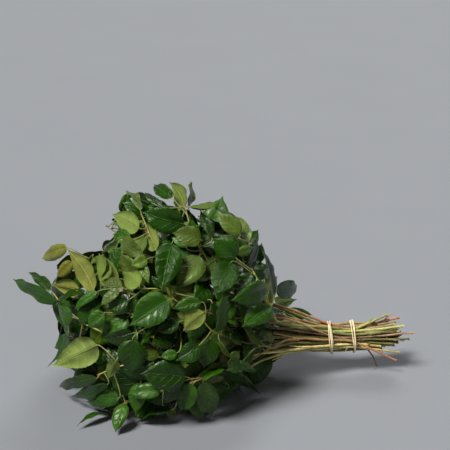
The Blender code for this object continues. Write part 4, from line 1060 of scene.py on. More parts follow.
def rod_shape(path, size, sides):
    """The corners and closed faces of a rod that follows a path."""
    corners = []
    faces = []
    up = UPWARD
    for node, place in enumerate(path):
        after = unit(path[min(node + 1, len(path) - 1)] - place)
        before = unit(place - path[max(node - 1, 0)])
        ahead = unit(after + before)
        up = side_of(up, ahead)
        across = np.cross(up, ahead)
        for side in range(sides):
            angle = 2 * math.pi * side / sides
            corners.append(place + size[node] * (math.cos(angle) * across + math.sin(angle) * up))
    for node in range(len(path) - 1):
        for side in range(sides):
            a = node * sides + side
            b = node * sides + (side + 1) % sides
            faces += [(a, b, b + sides), (a, b + sides, a + sides)]
    last = (len(path) - 1) * sides
    faces.append(tuple(reversed(range(sides))))
    faces.append(tuple(range(last, last + sides)))
    return corners, faces


def rod_tree(path, size):
    """A stem as a tree of faces, with the gap round it."""
    return BVHTree.FromPolygons(*rod_shape(path, (size + GAP) / math.cos(math.pi / ROD_SIDES), ROD_SIDES))


def place_shown_leaves(growth, draw):
    """Set each leaf of the table, moved back along the line of sight until it is clear. One that
    finds no clear place is left out."""
    for name in SHOWN_LEAVES:
        values = [draw.uniform(*FOLD), draw.uniform(*RIPPLE), draw.uniform(0, 1)]
        for back in range(0, MOST_BACK, BACK_STEP):
            if try_shown_leaf(growth, name, back, values):
                break


def try_shown_leaf(growth, name, back, values):
    """A leaf of the table, so many millimetres back, on a stalk from the nearest stem that can
    carry it."""
    tip, base, deep, wide, turn, arch = SHOWN_LEAVES[name]
    tip_place = seen_place(*tip, deep[0] + back)
    base_place = seen_place(*base, deep[1] + back)
    along = unit(tip_place - base_place)
    to_eye = side_of(EYE - base_place, along)
    face = turned(to_eye, along, math.radians(turn))
    for owner, root in stalk_roots(growth, base_place, along, SHOWN_REACH):
        leaf = Leaf([root, base_place], tip_place, face, wide * MILLIMETRE, arch, *values)
        stops = FULL_ROWS if leaf.length > SMALL_LEAF else PLAIN_ROWS
        if well_hung(leaf) and growth.clear(owner, blade_shape(leaf, stops, True, LEAF_GAP)):
            growth.add(owner, leaf, stops, True, name)
            return True
    return False


def stalk_roots(growth, base, along, longest):
    """Places on stems that could carry a leaf's base, nearest first."""
    found = []
    for owner, path in enumerate(growth.stems):
        for node in range(FIRST_HEAD_NODE, len(path) - 1):
            a, b = path[node], path[node + 1]
            share = float(np.clip((base - a) @ (b - a) / ((b - a) @ (b - a)), 0, 1))
            for shift in ROOT_SHIFTS:
                t = float(np.clip(share + shift, *ROOT_SPAN))
                root = a + (b - a) * t
                far = float(np.linalg.norm(base - root))
                if far > longest:
                    continue
                stands_back = float((root - base) @ along) > BACKWARD_SHARE * far
                found.append((far * (BACKWARD_COST if stands_back else 1.0), owner, tuple(root)))
    found.sort(key=lambda item: item[:2])
    return [(owner, np.array(root)) for _, owner, root in found[:ROOT_CHOICES]]


def place_rule_leaves(growth, draw):
    """Leaves up every stem, one side and then the other, from its tip to the bundle."""
    steps = []
    for owner, path in enumerate(growth.stems):
        head = path[EXIT_NODE:]
        lengths = np.linalg.norm(head[1:] - head[:-1], axis=1)
        total = float(lengths.sum())
        place = FIRST_LEAF
        number = 0
        while place < total - EXIT_ROOM:
            steps.append((place, owner, number))
            closer = TIP_SPACING if number < TIP_LEAVES else 1.0
            place += LEAF_SPACING * draw.uniform(*SPACING_SPREAD) * closer
            number += 1
    steps.sort()
    for place, owner, number in steps:
        if len(growth.leaves) < RULE_LIMIT:
            try_rule_leaf(growth, draw, owner, place, number)


def try_rule_leaf(growth, draw, owner, place, number):
    """One leaf at a place measured back from the stem's tip, in the first attitude that is
    clear of the rest."""
    root, ahead = place_on_stem(growth.stems[owner], place)
    outward = unit((root - HEAD_MIDDLE) / HEAD_RADII ** 2)
    inside = 1 - math.sqrt(float(np.sum(((root - HEAD_MIDDLE) / HEAD_RADII) ** 2)))
    forward = side_of(ahead + TIPWARD, outward)
    sideways = np.cross(outward, forward) * (1 if number % 2 else -1)
    grown = min(1.0, TIP_SIZE + SIZE_STEP * number)
    for attempt in range(RULE_TRIES):
        lean = draw.uniform(*(LEAN if number else TIP_LEAN))
        rise = draw.uniform(*RISE) + DEEP_RISE * max(inside - DEEP_FROM, 0.0)
        way = forward * math.cos(lean) + sideways * math.sin(lean) + rise * outward
        way = unit(way + draw.normal(0, WAY_SCATTER + MORE_SCATTER * attempt, 3))
        length = grown * draw.uniform(*LEAF_LENGTH) * (1 - SHORTER * attempt)
        base = root + way * STALK_LENGTH
        if keep_if_clear(growth, draw, owner, root, base, way, length, outward):
            return


def keep_if_clear(growth, draw, owner, root, base, way, length, outward):
    """Place a leaf of the rule if it is in the head, hides none that shows and touches none."""
    tip = base + way * length
    if tip[2] < LEAF_FLOOR:
        way = unit(tip + np.array((0.0, 0.0, LEAF_FLOOR - tip[2])) - base)
        tip = base + way * length
    reach = float(np.sum(((tip - HEAD_MIDDLE) / (HEAD_RADII * HEAD_REACH)) ** 2))
    if tip[2] < LOWEST_TIP or base[2] < LOWEST_BASE:
        return False
    if reach > SKIRT_REACH or (reach > 1 and tip[2] > SKIRT_HEIGHT):
        return False
    face = outward + LIGHTWARD + draw.normal(0, FACE_SCATTER, 3)
    if draw.uniform() < TURNED_SHARE:
        face = -face
    wide = length * LEAF_WIDTH * draw.uniform(*WIDTH_SPREAD)
    leaf = Leaf([root, base], tip, face, wide, draw.uniform(*ARCH), draw.uniform(*FOLD),
                draw.uniform(*RIPPLE), draw.uniform(0, 1))
    marks = leaf.places(*OUTER_MARKS)
    if not well_hung(leaf) or marks[:, 2].min() < -FLOOR_PRESS or not inside_outline(pixel_of(marks)):
        return False
    ribbed = reach > RIBBED_REACH
    if not growth.clear(owner, blade_shape(leaf, PLAIN_ROWS, ribbed, LEAF_GAP)):
        return False
    if growth.hides_shown(leaf):
        return False
    growth.add(owner, leaf, PLAIN_ROWS, ribbed)
    return True


def fill_gaps(growth, draw):
    """More leaves over the places on the head's outside that none yet covers."""
    for shrink in FILL_SHRINKS:
        for index in range(FILL_PLACES):
            if len(growth.leaves) >= LEAF_LIMIT:
                return
            level = 1 - 2 * (index + 0.5) / FILL_PLACES
            spin = index * GOLDEN_TURN + shrink
            flat = math.sqrt(1 - level * level)
            ring = np.array((level, flat * math.cos(spin), flat * math.sin(spin)))
            target = HEAD_MIDDLE + shrink * HEAD_RADII * ring
            outward = unit(ring / HEAD_RADII)
            if target[2] < FILL_FLOOR or growth.covers(target + FILL_LOOK * outward, -outward):
                continue
            for attempt in range(FILL_TRIES):
                way = side_of(TIPWARD + draw.normal(0, FILL_SCATTER, 3), outward)
                way = unit(way + draw.uniform(*FILL_RISE) * outward)
                length = draw.uniform(*LEAF_LENGTH) * (1 - FILL_SHORTER * attempt)
                base = target - FILL_BASE * length * way - draw.uniform(*FILL_SINK) * outward
                roots = stalk_roots(growth, base, way, FILL_REACH)[:FILL_ROOTS]
                if any(keep_if_clear(growth, draw, owner, root, base, way, length, outward)
                       for owner, root in roots):
                    break


def place_on_stem(path, back):
    """The place and direction so far back from a stem's tip."""
    for node in range(len(path) - 1, 0, -1):
        step = path[node] - path[node - 1]
        length = float(np.linalg.norm(step))
        if back <= length:
            return path[node] - step * (back / length), unit(step)
        back -= length
    return path[0], unit(path[1] - path[0])


def grown_bunch():
    """The settled stems with every leaf placed."""
    stems, radii = settled_stems()
    growth = Growth(stems, radii)
    draw = np.random.default_rng(SEED + 1)
    place_shown_leaves(growth, draw)
    place_rule_leaves(growth, draw)
    fill_gaps(growth, draw)
    return growth


# Further leaves in the depth of the head

def view_ways():
    """Ways towards an onlooker: the picture's, some round the head and one from above."""
    ways = [unit(EYE - HEAD_MIDDLE)]
    for turn in range(VIEW_TURNS):
        angle = 2 * math.pi * (turn + 0.5) / VIEW_TURNS
        ways.append(unit(np.array((math.cos(angle), math.sin(angle), VIEW_RISE))))
    ways.append(unit(np.array(TOP_WAY)))
    return ways


def joined_tree(shapes):
    """One tree of faces for many shapes."""
    corners = []
    faces = []
    for shape in shapes:
        start = len(corners)
        corners += [tuple(corner) for corner in shape[0]]
        faces += [tuple(start + corner for corner in face) for face in shape[1]]
    return BVHTree.FromPolygons(corners, faces)


def entry_depth(start, ahead):
    """How far along a line it enters the head, or None."""
    scale = HEAD_RADII * INNER_SHRINK
    a = start - HEAD_MIDDLE
    d = ahead / scale
    s = a / scale
    square = d @ d
    cross = s @ d
    under = cross * cross - square * (s @ s - 1)
    if under <= 0:
        return None
    return (-cross - math.sqrt(under)) / square


def bare_places(leaf_tree, stem_tree, way, step, draw):
    """Places for a leaf where a look along a way meets bare stems, or no leaf for a long way."""
    rows = int(VIEW_REACH / step)
    across = side_of(UPWARD, way)
    other = np.cross(way, across)
    found = []
    for row in range(-rows, rows + 1):
        for column in range(-rows, rows + 1):
            shake = draw.uniform(-0.5, 0.5, 2)
            aside = (row + shake[0]) * across + (column + shake[1]) * other
            start = HEAD_MIDDLE + LOOK_FROM * way + step * aside
            enter = entry_depth(start, -way)
            if enter is None:
                continue
            leaf_far = leaf_tree.ray_cast(Vector(start), Vector(-way))[3]
            stem_far = stem_tree.ray_cast(Vector(start), Vector(-way))[3]
            leaf_far = leaf_far if leaf_far is not None else enter + FAR_OFF
            stem_far = stem_far if stem_far is not None else enter + FAR_OFF
            if leaf_far < min(stem_far, enter + DEEP_LOOK):
                continue
            deep = draw.uniform(*INNER_DEPTH)
            if enter - ENTRY_SLACK < stem_far - STEM_COVER < enter + DEEP_LOOK:
                deep = stem_far - STEM_COVER - enter
            target = start - (enter + deep) * way
            if target[2] > INNER_FLOOR:
                found.append(target)
    return found


def near_roots(runs, base, along):
    """Places on stems that could carry a leaf's base, nearest first, from the stems' runs."""
    owners, starts, steps = runs
    share = np.sum((base - starts) * steps, axis=1) / np.sum(steps * steps, axis=1)
    roots = starts + steps * np.clip(share, *INNER_ROOT_SPAN)[:, None]
    far = np.linalg.norm(base - roots, axis=1)
    cost = far * np.where((roots - base) @ along > BACKWARD_SHARE * far, BACKWARD_COST, 1.0)
    order = np.argsort(cost)[:INNER_ROOTS]
    return [(int(owners[n]), roots[n]) for n in order if far[n] < INNER_REACH]


def blocked(trees, leaf):
    marks = leaf.places(*BLOCKING_MARKS)
    for here, there in marks.reshape(3, 2, 3):
        way = there - here
        for tree in trees:
            if tree.ray_cast(Vector(here), Vector(way), float(np.linalg.norm(way)))[0] is not None:
                return True
    return False


def try_inner_leaf(growth, runs, trees, draw, target, way, scale):
    """A leaf about a place, facing an onlooker, in the first attitude that touches nothing."""
    outward = unit((target - HEAD_MIDDLE) / HEAD_RADII ** 2)
    for attempt in range(INNER_TRIES):
        normal = unit(way + LIGHTWARD + draw.normal(0, INNER_SCATTER + INNER_MORE * attempt, 3))
        lead = INNER_TIPWARD * TIPWARD + INNER_OUTWARD * outward
        along = side_of(lead + draw.normal(0, INNER_STRAY, 3), normal)
        length = scale * draw.uniform(*INNER_LENGTH) * (1 - INNER_SHORTER * attempt)
        base = target - 0.5 * length * along - INNER_BACK * way
        tip = base + length * along
        wide = length * LEAF_WIDTH * draw.uniform(*INNER_WIDTHS)
        values = [draw.uniform(*ARCH), draw.uniform(*FOLD), draw.uniform(*RIPPLE), draw.uniform(0, 1)]
        reach = float(np.sum(((tip - HEAD_MIDDLE) / (HEAD_RADII * HEAD_REACH)) ** 2))
        if reach > 1 or min(tip[2], base[2]) < LEAF_FLOOR:
            continue
        for owner, root in near_roots(runs, base, along):
            leaf = Leaf([root, base], tip, normal, wide, *values)
            marks = leaf.places(*OUTER_MARKS)
            if marks[:, 2].min() < 0 or not inside_outline(pixel_of(marks)) or blocked(trees, leaf):
                break
            if not well_hung(leaf):
                continue
            shape = blade_shape(leaf, PLAIN_ROWS, False, INNER_GAP)
            if growth.clear(owner, shape) and not growth.hides_shown(leaf):
                growth.add(owner, leaf, PLAIN_ROWS, False)
                growth.names[-1] = "inner"
                return shape
    return None


def fill_in(growth):
    """Leaves in the depth of the head, where it would be looked through."""
    draw = np.random.default_rng(INNER_SEED)
    shapes = [blade_shape(leaf, stops, ribbed) for _, leaf, stops, ribbed in growth.leaves]
    paths = growth.stems[:, EXIT_NODE:]
    steps = np.diff(paths, axis=1)
    owners = np.repeat(np.arange(len(paths)), steps.shape[1])
    runs = (owners, paths[:, :-1].reshape(-1, 3), steps.reshape(-1, 3))
    stem_tree = joined_tree([rod_shape(path, size, SQUARE_SIDES)
                             for path, size in zip(growth.stems, growth.radii)])
    ways = view_ways()
    passes = [(way, VIEW_STEP, 1.0) for way in INNER_ROUNDS * ways] + [(ways[0], CLOSE_STEP, CLOSE_SCALE)]
    for way, step, scale in passes:
        leaf_tree = joined_tree(shapes)
        before = len(growth.trees)
        for target in bare_places(leaf_tree, stem_tree, way, step, draw):
            if len(growth.leaves) >= INNER_LIMIT:
                return
            start = Vector(target + HEAD_WAY * way)
            line = Vector(-way)
            reach = HEAD_WAY + PAST_TARGET
            if any(tree.ray_cast(start, line, reach)[0] is not None for tree in growth.trees[before:]):
                continue
            shape = try_inner_leaf(growth, runs, (leaf_tree, stem_tree), draw, target, way, scale)
            if shape is not None:
                shapes.append(shape)


def prop_path(growth):
    """The lowest stem that the prop twig can leave, and the places that the twig passes."""
    end = EYE + sight(*PROP_TWIG[1]) * (-EYE[2] / sight(*PROP_TWIG[1])[2])
    start_x = place_at_depth(*PROP_TWIG[0], end[1])[0]
    lowest = None
    for number, path in enumerate(growth.stems):
        if path[0, 0] < start_x + PROP_ROOM:
            continue
        share = (path[0, 0] - start_x) / (path[0, 0] - path[1, 0])
        start = path[0] + (path[1] - path[0]) * share
        if lowest is None or start[2] < lowest[1][2]:
            lowest = (number, start)
    number, start = lowest
    end = end + np.array((0.0, start[1] - end[1], PROP_RADIUS))
    return number, np.array((start, (start + end) / 2 + PROP_BEND * ALONG_X, end))


# Looks

UPPER, LOWER, BARK, CUT = range(4)


class Shape:
    """Corners, faces, a local place and a tint for each corner, gathered for one piece."""

    def __init__(self):
        self.corners = []
        self.spots = []
        self.tints = []
        self.faces = []
        self.slots = []
        self.count = 0

    def add(self, corners, spots, tints, faces, slot):
        """Take in some corners and the faces over them, all of one material."""
        self.corners.append(np.asarray(corners, float))
        self.spots.append(np.asarray(spots, float))
        self.tints.append(np.asarray(tints, float))
        for face in faces:
            self.faces.append(tuple(int(corner) + self.count for corner in face))
        self.slots += [slot] * len(faces)
        self.count += len(corners)

    def made(self, name, materials, shift):
        """The piece as an object."""
        corners = np.concatenate(self.corners) + shift
        corners[:, 2] = np.maximum(corners[:, 2], 0.0)
        mesh = bpy.data.meshes.new(name)
        mesh.from_pydata(corners.tolist(), [], self.faces)
        for material in materials:
            mesh.materials.append(material)
        mesh.polygons.foreach_set("material_index", self.slots)
        spot = mesh.attributes.new("spot", "FLOAT_VECTOR", "POINT")
        spot.data.foreach_set("vector", np.concatenate(self.spots).ravel())
        tint = mesh.attributes.new("tint", "FLOAT_COLOR", "POINT")
        tint.data.foreach_set("color", np.concatenate(self.tints).ravel())
        mesh.shade_smooth()
        mesh.update()
        thing = bpy.data.objects.new(name, mesh)
        bpy.context.scene.collection.objects.link(thing)
        return thing


def grid_faces(rows, columns, flip):
    """Quads over a grid of corners."""
    faces = []
    for row in range(rows - 1):
        for column in range(columns - 1):
            a = row * columns + column
            quad = (a, a + 1, a + columns + 1, a + columns)
            faces.append(quad[::-1] if flip else quad)
    return faces


def smooth_path(path, size, spacing):
    """A rounded way through a stem's places, and its radius there."""
    places = []
    radii = []
    ends = np.concatenate(([2 * path[0] - path[1]], path, [2 * path[-1] - path[-2]]))
    for node in range(len(path) - 1):
        a, b, c, d = ends[node:node + 4]
        steps = max(2, int(round(np.linalg.norm(c - b) / spacing)))
        t = (np.arange(steps) / steps)[:, None]
        curve = 0.5 * (2 * b + (c - a) * t + (2 * a - 5 * b + 4 * c - d) * t ** 2
                       + (3 * b - a - 3 * c + d) * t ** 3)
        chord = b + (c - b) * t
        places.append(chord + WAY_ROUNDING * (curve - chord))
        radii.append(size[node] + (size[node + 1] - size[node]) * t[:, 0])
    places.append(path[-1:])
    radii.append(size[-1:])
    return np.concatenate(places), np.concatenate(radii)


def tube(shape, places, radii, sides, tints, slot):
    """A round tube with a size and tint at each place, closed with a point at its far end."""
    corners = []
    local = []
    colours = []
    up = side_of(TUBE_UP, unit(places[1] - places[0]))
    angles = 2 * math.pi * np.arange(sides) / sides
    run = 0.0
    for node, place in enumerate(places):
        ahead = unit(places[min(node + 1, len(places) - 1)] - places[max(node - 1, 0)])
        up = side_of(up, ahead)
        across = np.cross(up, ahead)
        if node:
            run += float(np.linalg.norm(place - places[node - 1]))
        ring = np.multiply.outer(np.cos(angles), across) + np.multiply.outer(np.sin(angles), up)
        corners.append(place + radii[node] * ring)
        local.append(np.stack((np.cos(angles), np.sin(angles), np.full(sides, run * RUN_SCALE)), axis=1))
        colours.append(np.tile(tints[node], (sides, 1)))
    faces = []
    for node in range(len(places) - 1):
        for side in range(sides):
            a = node * sides + side
            b = node * sides + (side + 1) % sides
            faces.append((a, b, b + sides, a + sides))
    last = (len(places) - 1) * sides
    corners.append(np.array([places[-1] + unit(places[-1] - places[-2]) * radii[-1] * TUBE_POINT]))
    local.append(local[-1][:1])
    colours.append(colours[-1][:1])
    tip = last + sides
    faces += [(last + side, last + (side + 1) % sides, tip) for side in range(sides)]
    shape.add(np.concatenate(corners), np.concatenate(local), np.concatenate(colours), faces, slot)


def fine_half(u):
    """Half the blade's width: as the plain blade, with a rounder base and a drawn-out tip."""
    u = np.clip(u, 0.0, 1.0)
    power = FINE_FULLNESS * (FINE_END - FINE_BROADEST) / FINE_BROADEST
    body = (u / FINE_BROADEST) ** FINE_FULLNESS
    body = body * (np.maximum(FINE_END - u, 0) / (FINE_END - FINE_BROADEST)) ** power
    point = FINE_POINT * np.minimum((1 - u) / (1 - FINE_END), 1) * (u > FINE_BROADEST)
    return (body ** 3 + point ** 3) ** (1 / 3)


def fine_places(leaf, look):
    """The places of a fine blade's middle surface, and where each lies along and across it."""
    rows = look["rows"]
    u = np.linspace(0.0, 1.0, rows + 2)[1:-1]
    u = u - ROW_SHIFT * np.sin(2 * math.pi * u)
    uu, vv = np.meshgrid(u, COLUMNS, indexing="ij")
    edge = np.abs(vv)
    odd_edge = (np.arange(rows)[:, None] % 2) * (edge == 1.0)
    toothed = 1 + TOOTH * odd_edge / np.maximum(fine_half(u)[:, None], LEAST_HALF)
    half = 0.5 * look["fullness"] * leaf.wide * fine_half(uu)
    wide = half * vv * toothed
    lift = leaf.arch * leaf.length * np.sin(math.pi * uu)
    lift += half * (leaf.fold * edge - FOLD_EASE * leaf.fold * edge ** 3)
    wave = np.sin(2 * math.pi * (WAVES * uu + leaf.phase) + WAVE_LAG * np.sign(vv))
    lift += look["ripple"] * leaf.ripple * leaf.length * wave * edge ** WAVE_EDGE * np.sin(math.pi * uu)
    fine = np.sin(2 * math.pi * (look["waves"] * uu + 3 * leaf.phase) + FINE_LAG * np.sign(vv))
    lift += FINE_WAVE * leaf.length * fine * edge ** 3 * np.sin(math.pi * uu)
    lift -= look["curl"] * leaf.length * np.clip(uu - CURL_FROM, 0, 1) ** 2
    lift -= look["droop"] * half * edge ** 4
    bend = look["bend"] * leaf.length * np.sin(math.pi * uu)
    slide = np.where(edge > 0, MARGIN_SLIDE * leaf.wide * edge * uu * (1 - uu), 0)
    turn = look["twist"] * (uu - TWIST_FROM)
    aside = wide * np.cos(turn) - lift * np.sin(turn)
    lift = lift * np.cos(turn) + wide * np.sin(turn)
    out = leaf.stalk[-1] + np.multiply.outer(leaf.length * uu + slide, leaf.along)
    out = out + np.multiply.outer(aside + bend, leaf.across) + np.multiply.outer(lift, leaf.up)
    return out, np.stack((uu, wide / leaf.length, vv), axis=2)


def crossings(growth, owner, leaf, look):
    """How many blades and stems made before a fine blade crosses, and the blade's own tree."""
    out, _ = fine_places(leaf, look)
    corners = out.reshape(-1, 3)
    low = corners.min(axis=0)
    high = corners.max(axis=0)
    tree = BVHTree.FromPolygons(corners.tolist(), grid_faces(out.shape[0], out.shape[1], False))
    near = np.all((np.array(growth.fine_lows) <= high) & (np.array(growth.fine_highs) >= low), axis=1)
    crossed = 0
    for other in np.nonzero(near)[0]:
        if other != owner and tree.overlap(growth.fine_trees[other]):
            crossed += 1
    return crossed, (tree, low, high)


def clear_look(growth, owner, leaf, look, named):
    """The look that bends the blade least from the one drawn and still leaves it clear, or else the one
    that crosses fewest.
    """
    best = None
    for share, fullness in NAMED_EASINGS if named else EASINGS:
        trial = dict(look)
        for term in ("bend", "twist", "droop"):
            trial[term] = share * look[term]
        trial["curl"] = MIDDLE_CURL + share * (look["curl"] - MIDDLE_CURL)
        trial["ripple"] = 1 + max(share, 0.0) * (look["ripple"] - 1)
        trial["fullness"] = fullness
        crossed, blade = crossings(growth, owner, leaf, trial)
        if best is None or crossed < best[0]:
            best = (crossed, trial, blade)
        if crossed == 0:
            break
    tree, low, high = best[2]
    growth.fine_trees.append(tree)
    growth.fine_lows.append(low)
    growth.fine_highs.append(high)
    return best[1]


def fine_blade(shape, leaf, look):
    """A leaf's blade: two skins that meet at a toothed edge. Returns its middle line."""
    out, spots = fine_places(leaf, look)
    rows = look["rows"]
    v = COLUMNS
    edge = np.abs(spots[:, :, 2])
    thick = np.multiply.outer(0.5 * FINE_THICKNESS * (1 - edge ** EDGE_TAPER), leaf.up)
    base = leaf.stalk[-1]
    tip = out[-1, len(v) // 2] + leaf.along * leaf.length * (1 - spots[-1, 0, 0])
    count = out.shape[0] * out.shape[1]
    for side, slot, tint in ((1, UPPER, look["upper"]), (-1, LOWER, look["lower"])):
        skin = (out + side * thick).reshape(-1, 3)
        corners = np.concatenate((skin, [base, tip]))
        local = np.concatenate((spots.reshape(-1, 3), [(0, 0, 0), (1, 0, 0)]))
        faces = grid_faces(rows, len(v), side < 0)
        for column in range(len(v) - 1):
            near = (count, column + 1, column)
            start = (rows - 1) * len(v) + column
            far = (count + 1, start, start + 1)
            faces += [near[::-1], far[::-1]] if side < 0 else [near, far]
        shape.add(corners, local, np.tile(tint, (len(corners), 1)), faces, slot)
    return out[:, len(v) // 2]


def stalk_way(leaf, root):
    """A rounded way from a stem to a blade's base."""
    base = leaf.stalk[-1]
    reach = float(np.linalg.norm(base - root))
    t = np.linspace(0, 1, LONG_STALK_STEPS if reach > LONG_STALK else STALK_STEPS)[:, None]
    pull = base - leaf.along * min(0.5 * reach, STALK_PULL)
    return (1 - t) ** 2 * root + 2 * t * (1 - t) * pull + t * t * base


def leaf_kind(name, draw):
    """What kind of leaf this is, from the words in its name or by a draw."""
    for word in KINDS:
        if word in name.split():
            return word
    shares = INNER_SHARES if name == "inner" else RULE_SHARES
    return list(shares)[int(draw.choice(len(shares), p=list(shares.values())))]


def leaf_look(name, leaf, draw):
    """The tones of a leaf's two sides, and how it bends."""
    kind = leaf_kind(name, draw)
    upper, lower, vein, gloss = KINDS[kind]
    tone = draw.normal(1.0, TONE_SPREAD)
    warm = draw.normal(0.0, WARM_SPREAD)
    shade = np.array((tone * (1 + warm), tone, tone * (1 - warm)))
    loose = 1.0 if name in ("", "inner") else SHOWN_LOOSENESS
    return {
        "upper": np.array((*np.clip(linear(upper) * shade, 0, 1), gloss)),
        "lower": np.array((*np.clip(linear(lower) * shade, 0, 1), vein)),
        "rows": LOOK_ROWS if leaf.length > SMALL_LEAF and name != "inner" else FEW_ROWS,
        "waves": draw.uniform(*SMALL_WAVES),
        "curl": MIDDLE_CURL + loose * draw.uniform(-CURL_SPREAD, CURL_SPREAD),
        "droop": draw.uniform(*DROOP),
        "bend": loose * draw.normal(0, BEND_SPREAD),
        "twist": loose * draw.normal(0, TWIST_SPREAD),
        "ripple": draw.uniform(*MORE_RIPPLE),
        "fullness": 1.0,
    }


def nearest_on(places, target):
    """The place on a rounded way that lies nearest another, and its index."""
    index = int(np.argmin(np.linalg.norm(places - target, axis=1)))
    return places[index], index


def crooked_way(growth, number, phases):
    """A stem's way, a little crooked, with its radii and its run."""
    places, radii = smooth_path(growth.stems[number], growth.radii[number], STEM_STEP)
    steps = np.linalg.norm(np.diff(places, axis=0), axis=1)
    run = np.concatenate(([0.0], np.cumsum(steps)))
    crook = np.zeros((len(places), 2))
    for axis in range(2):
        broad = np.sin(run * BROAD_BENDS + phases[axis])
        sharp = np.arcsin(np.sin(run * SHARP_BENDS + phases[2 + axis]))
        crook[:, axis] = broad + SHARP_SHARE * sharp
    crook *= (1 + TWIG_CROOK * np.clip((run / run[-1] - TWIG_CROOK_FROM) / TWIG_CROOK_REACH, 0, 1))[:, None]
    fade = np.minimum(1.0, np.minimum(run, run[-1] - run) / END_FADE)
    fade = fade * np.interp(places[:, 0], BUNDLE_PLACES, BUNDLE_CROOK)
    aside = np.stack((np.zeros(len(places)), crook[:, 0], crook[:, 1]), axis=1)
    places = places + aside * CROOK * fade[:, None]
    return places, radii, run


def start_fine(growth):
    """The crooked stems, as the first things that a fine blade is tested against."""
    growth.fine_trees = []
    growth.fine_lows = []
    growth.fine_highs = []
    for number in range(STEM_COUNT):
        phases = np.random.default_rng(LOOK_SEED + number).uniform(0, 2 * math.pi, 4)
        places, radii, _ = crooked_way(growth, number, phases)
        corners, faces = rod_shape(places, radii, ROD_SIDES)
        growth.fine_trees.append(BVHTree.FromPolygons(corners, faces))
        growth.fine_lows.append(np.array(corners).min(axis=0))
        growth.fine_highs.append(np.array(corners).max(axis=0))


def fine_stem(shape, number, growth, draw):
    """The woody stem, a little crooked, with a swelling where each leaf stands, old scars and
    stubs on its bare length, and a pale cut end. Returns its way, radii and tints."""
    phases = draw.uniform(0, 2 * math.pi, 4)
    places, radii, run = crooked_way(growth, number, phases)
    swell = np.ones(len(places))
    joints = [float(run[nearest_on(places, leaf.stalk[0])[1]])
              for owner, leaf, _, _ in growth.leaves if owner == number]
    scars = np.arange(draw.uniform(*SCAR_START), run[-1] * SCARRED_SHARE, SCAR_SPACING)
    scars = list(scars + draw.normal(0, SCAR_SHIFT))
    for at in joints + scars:
        swell += SWELLING * np.exp(-((run - at) / SWELLING_REACH) ** 2)
    low, high = BARK_KINDS[int(draw.choice(len(BARK_KINDS), p=BARK_SHARES))]
    share = np.clip(run / run[-1] + draw.normal(0, TONE_SHIFT), 0, 1) ** TONE_POWER
    blotch = 1 + BLOTCH * np.sin(run * BLOTCH_BENDS + phases[3])
    tone = linear(low)[None] * (1 - share[:, None]) + linear(high)[None] * share[:, None]
    tone *= blotch[:, None]
    tone *= draw.uniform(*BARK_LIGHTS)
    # Painted shade: the bark is darkened inside the bundle and lightened on its outside
    tone *= painted_bundle_shade(places)[:, None]
    tints = np.concatenate((np.clip(tone, 0, 1), share[:, None]), axis=1)
    slim = SLIM - SLIMMER * np.clip((share - SLIMMER_FROM) / SLIMMER_REACH, 0, 1)
    tube(shape, places, radii * swell * slim, STEM_SIDES, tints, BARK)
    cut_end(shape, places, radii, tints, draw)
    for at in scars:
        if draw.uniform() < STUB_SHARE:
            stub(shape, places, radii, run, at, tints, draw)
    out = places[2] - bundle_axis(places[2, 0])
    if np.linalg.norm(out) > SPUR_FROM and draw.uniform() < SPUR_SHARE:
        spur(shape, places, run, unit(out), tints, draw)
    if draw.uniform() < TWIG_SHARE:
        side_twig(shape, places, tints, draw)
    return places, radii, tints


def painted_bundle_shade(places):
    """Painted shade and light on the bark: darker inside the bundle, where shade falls, and lighter on its
    outside.
    """
    reach = np.array([np.linalg.norm(place - bundle_axis(place[0])) for place in places])
    outside = np.clip(reach / np.interp(places[:, 0], BUNDLE_PLACES, BUNDLE_REACHES), 0, 1)
    shade = INNER_BARK_PAINTED_SHADE + (OUTER_BARK_PAINTED_LIGHT - INNER_BARK_PAINTED_SHADE) * outside ** SHADE_POWER
    in_bundle = np.clip((places[:, 0] - BUNDLE_PLACES[0] + SHADE_FADE) / SHADE_FADE, 0, 1)
    return 1 + (shade - 1) * in_bundle


def cut_end(shape, places, radii, tints, draw):
    """The slanting cut face at a stem's lower end."""
    ahead = unit(places[0] - places[1])
    across = side_of(np.array((0.1, 0.3, 1.0)), ahead)
    other = np.cross(across, ahead)
    slant = draw.uniform(*CUT_SLANT)
    turn = draw.uniform(0, 2 * math.pi)
    rings = []
    spots = []
    wall = []
    for reach in CUT_RINGS:
        for side in range(STEM_SIDES if reach else 1):
            angle = 2 * math.pi * side / STEM_SIDES
            rise = slant * radii[0] * reach * math.cos(angle + turn) + radii[0] * CUT_RISE
            ring = math.cos(angle) * across + math.sin(angle) * other
            rings.append(places[0] + radii[0] * CUT_INSET * reach * ring + ahead * rise)
            spots.append((reach * math.cos(angle), reach * math.sin(angle), 0.0))
            if reach == CUT_RINGS[0]:
                wall.append(places[0] + radii[0] * CUT_INSET * ring)
    count = STEM_SIDES
    faces = []
    sleeve = []
    for side in range(count):
        there = (side + 1) % count
        faces.append((side, there, count + there, count + side))
        faces.append((count + side, count + there, 2 * count))
        sleeve.append((side, there, count + there, count + side))
    shape.add(rings, spots, np.tile(solid(CUT_TONE), (len(rings), 1)), faces, CUT)
    walls = wall + rings[:count]
    shape.add(walls, [(0, 0, 0)] * len(walls), np.tile(tints[0], (len(walls), 1)), sleeve, BARK)


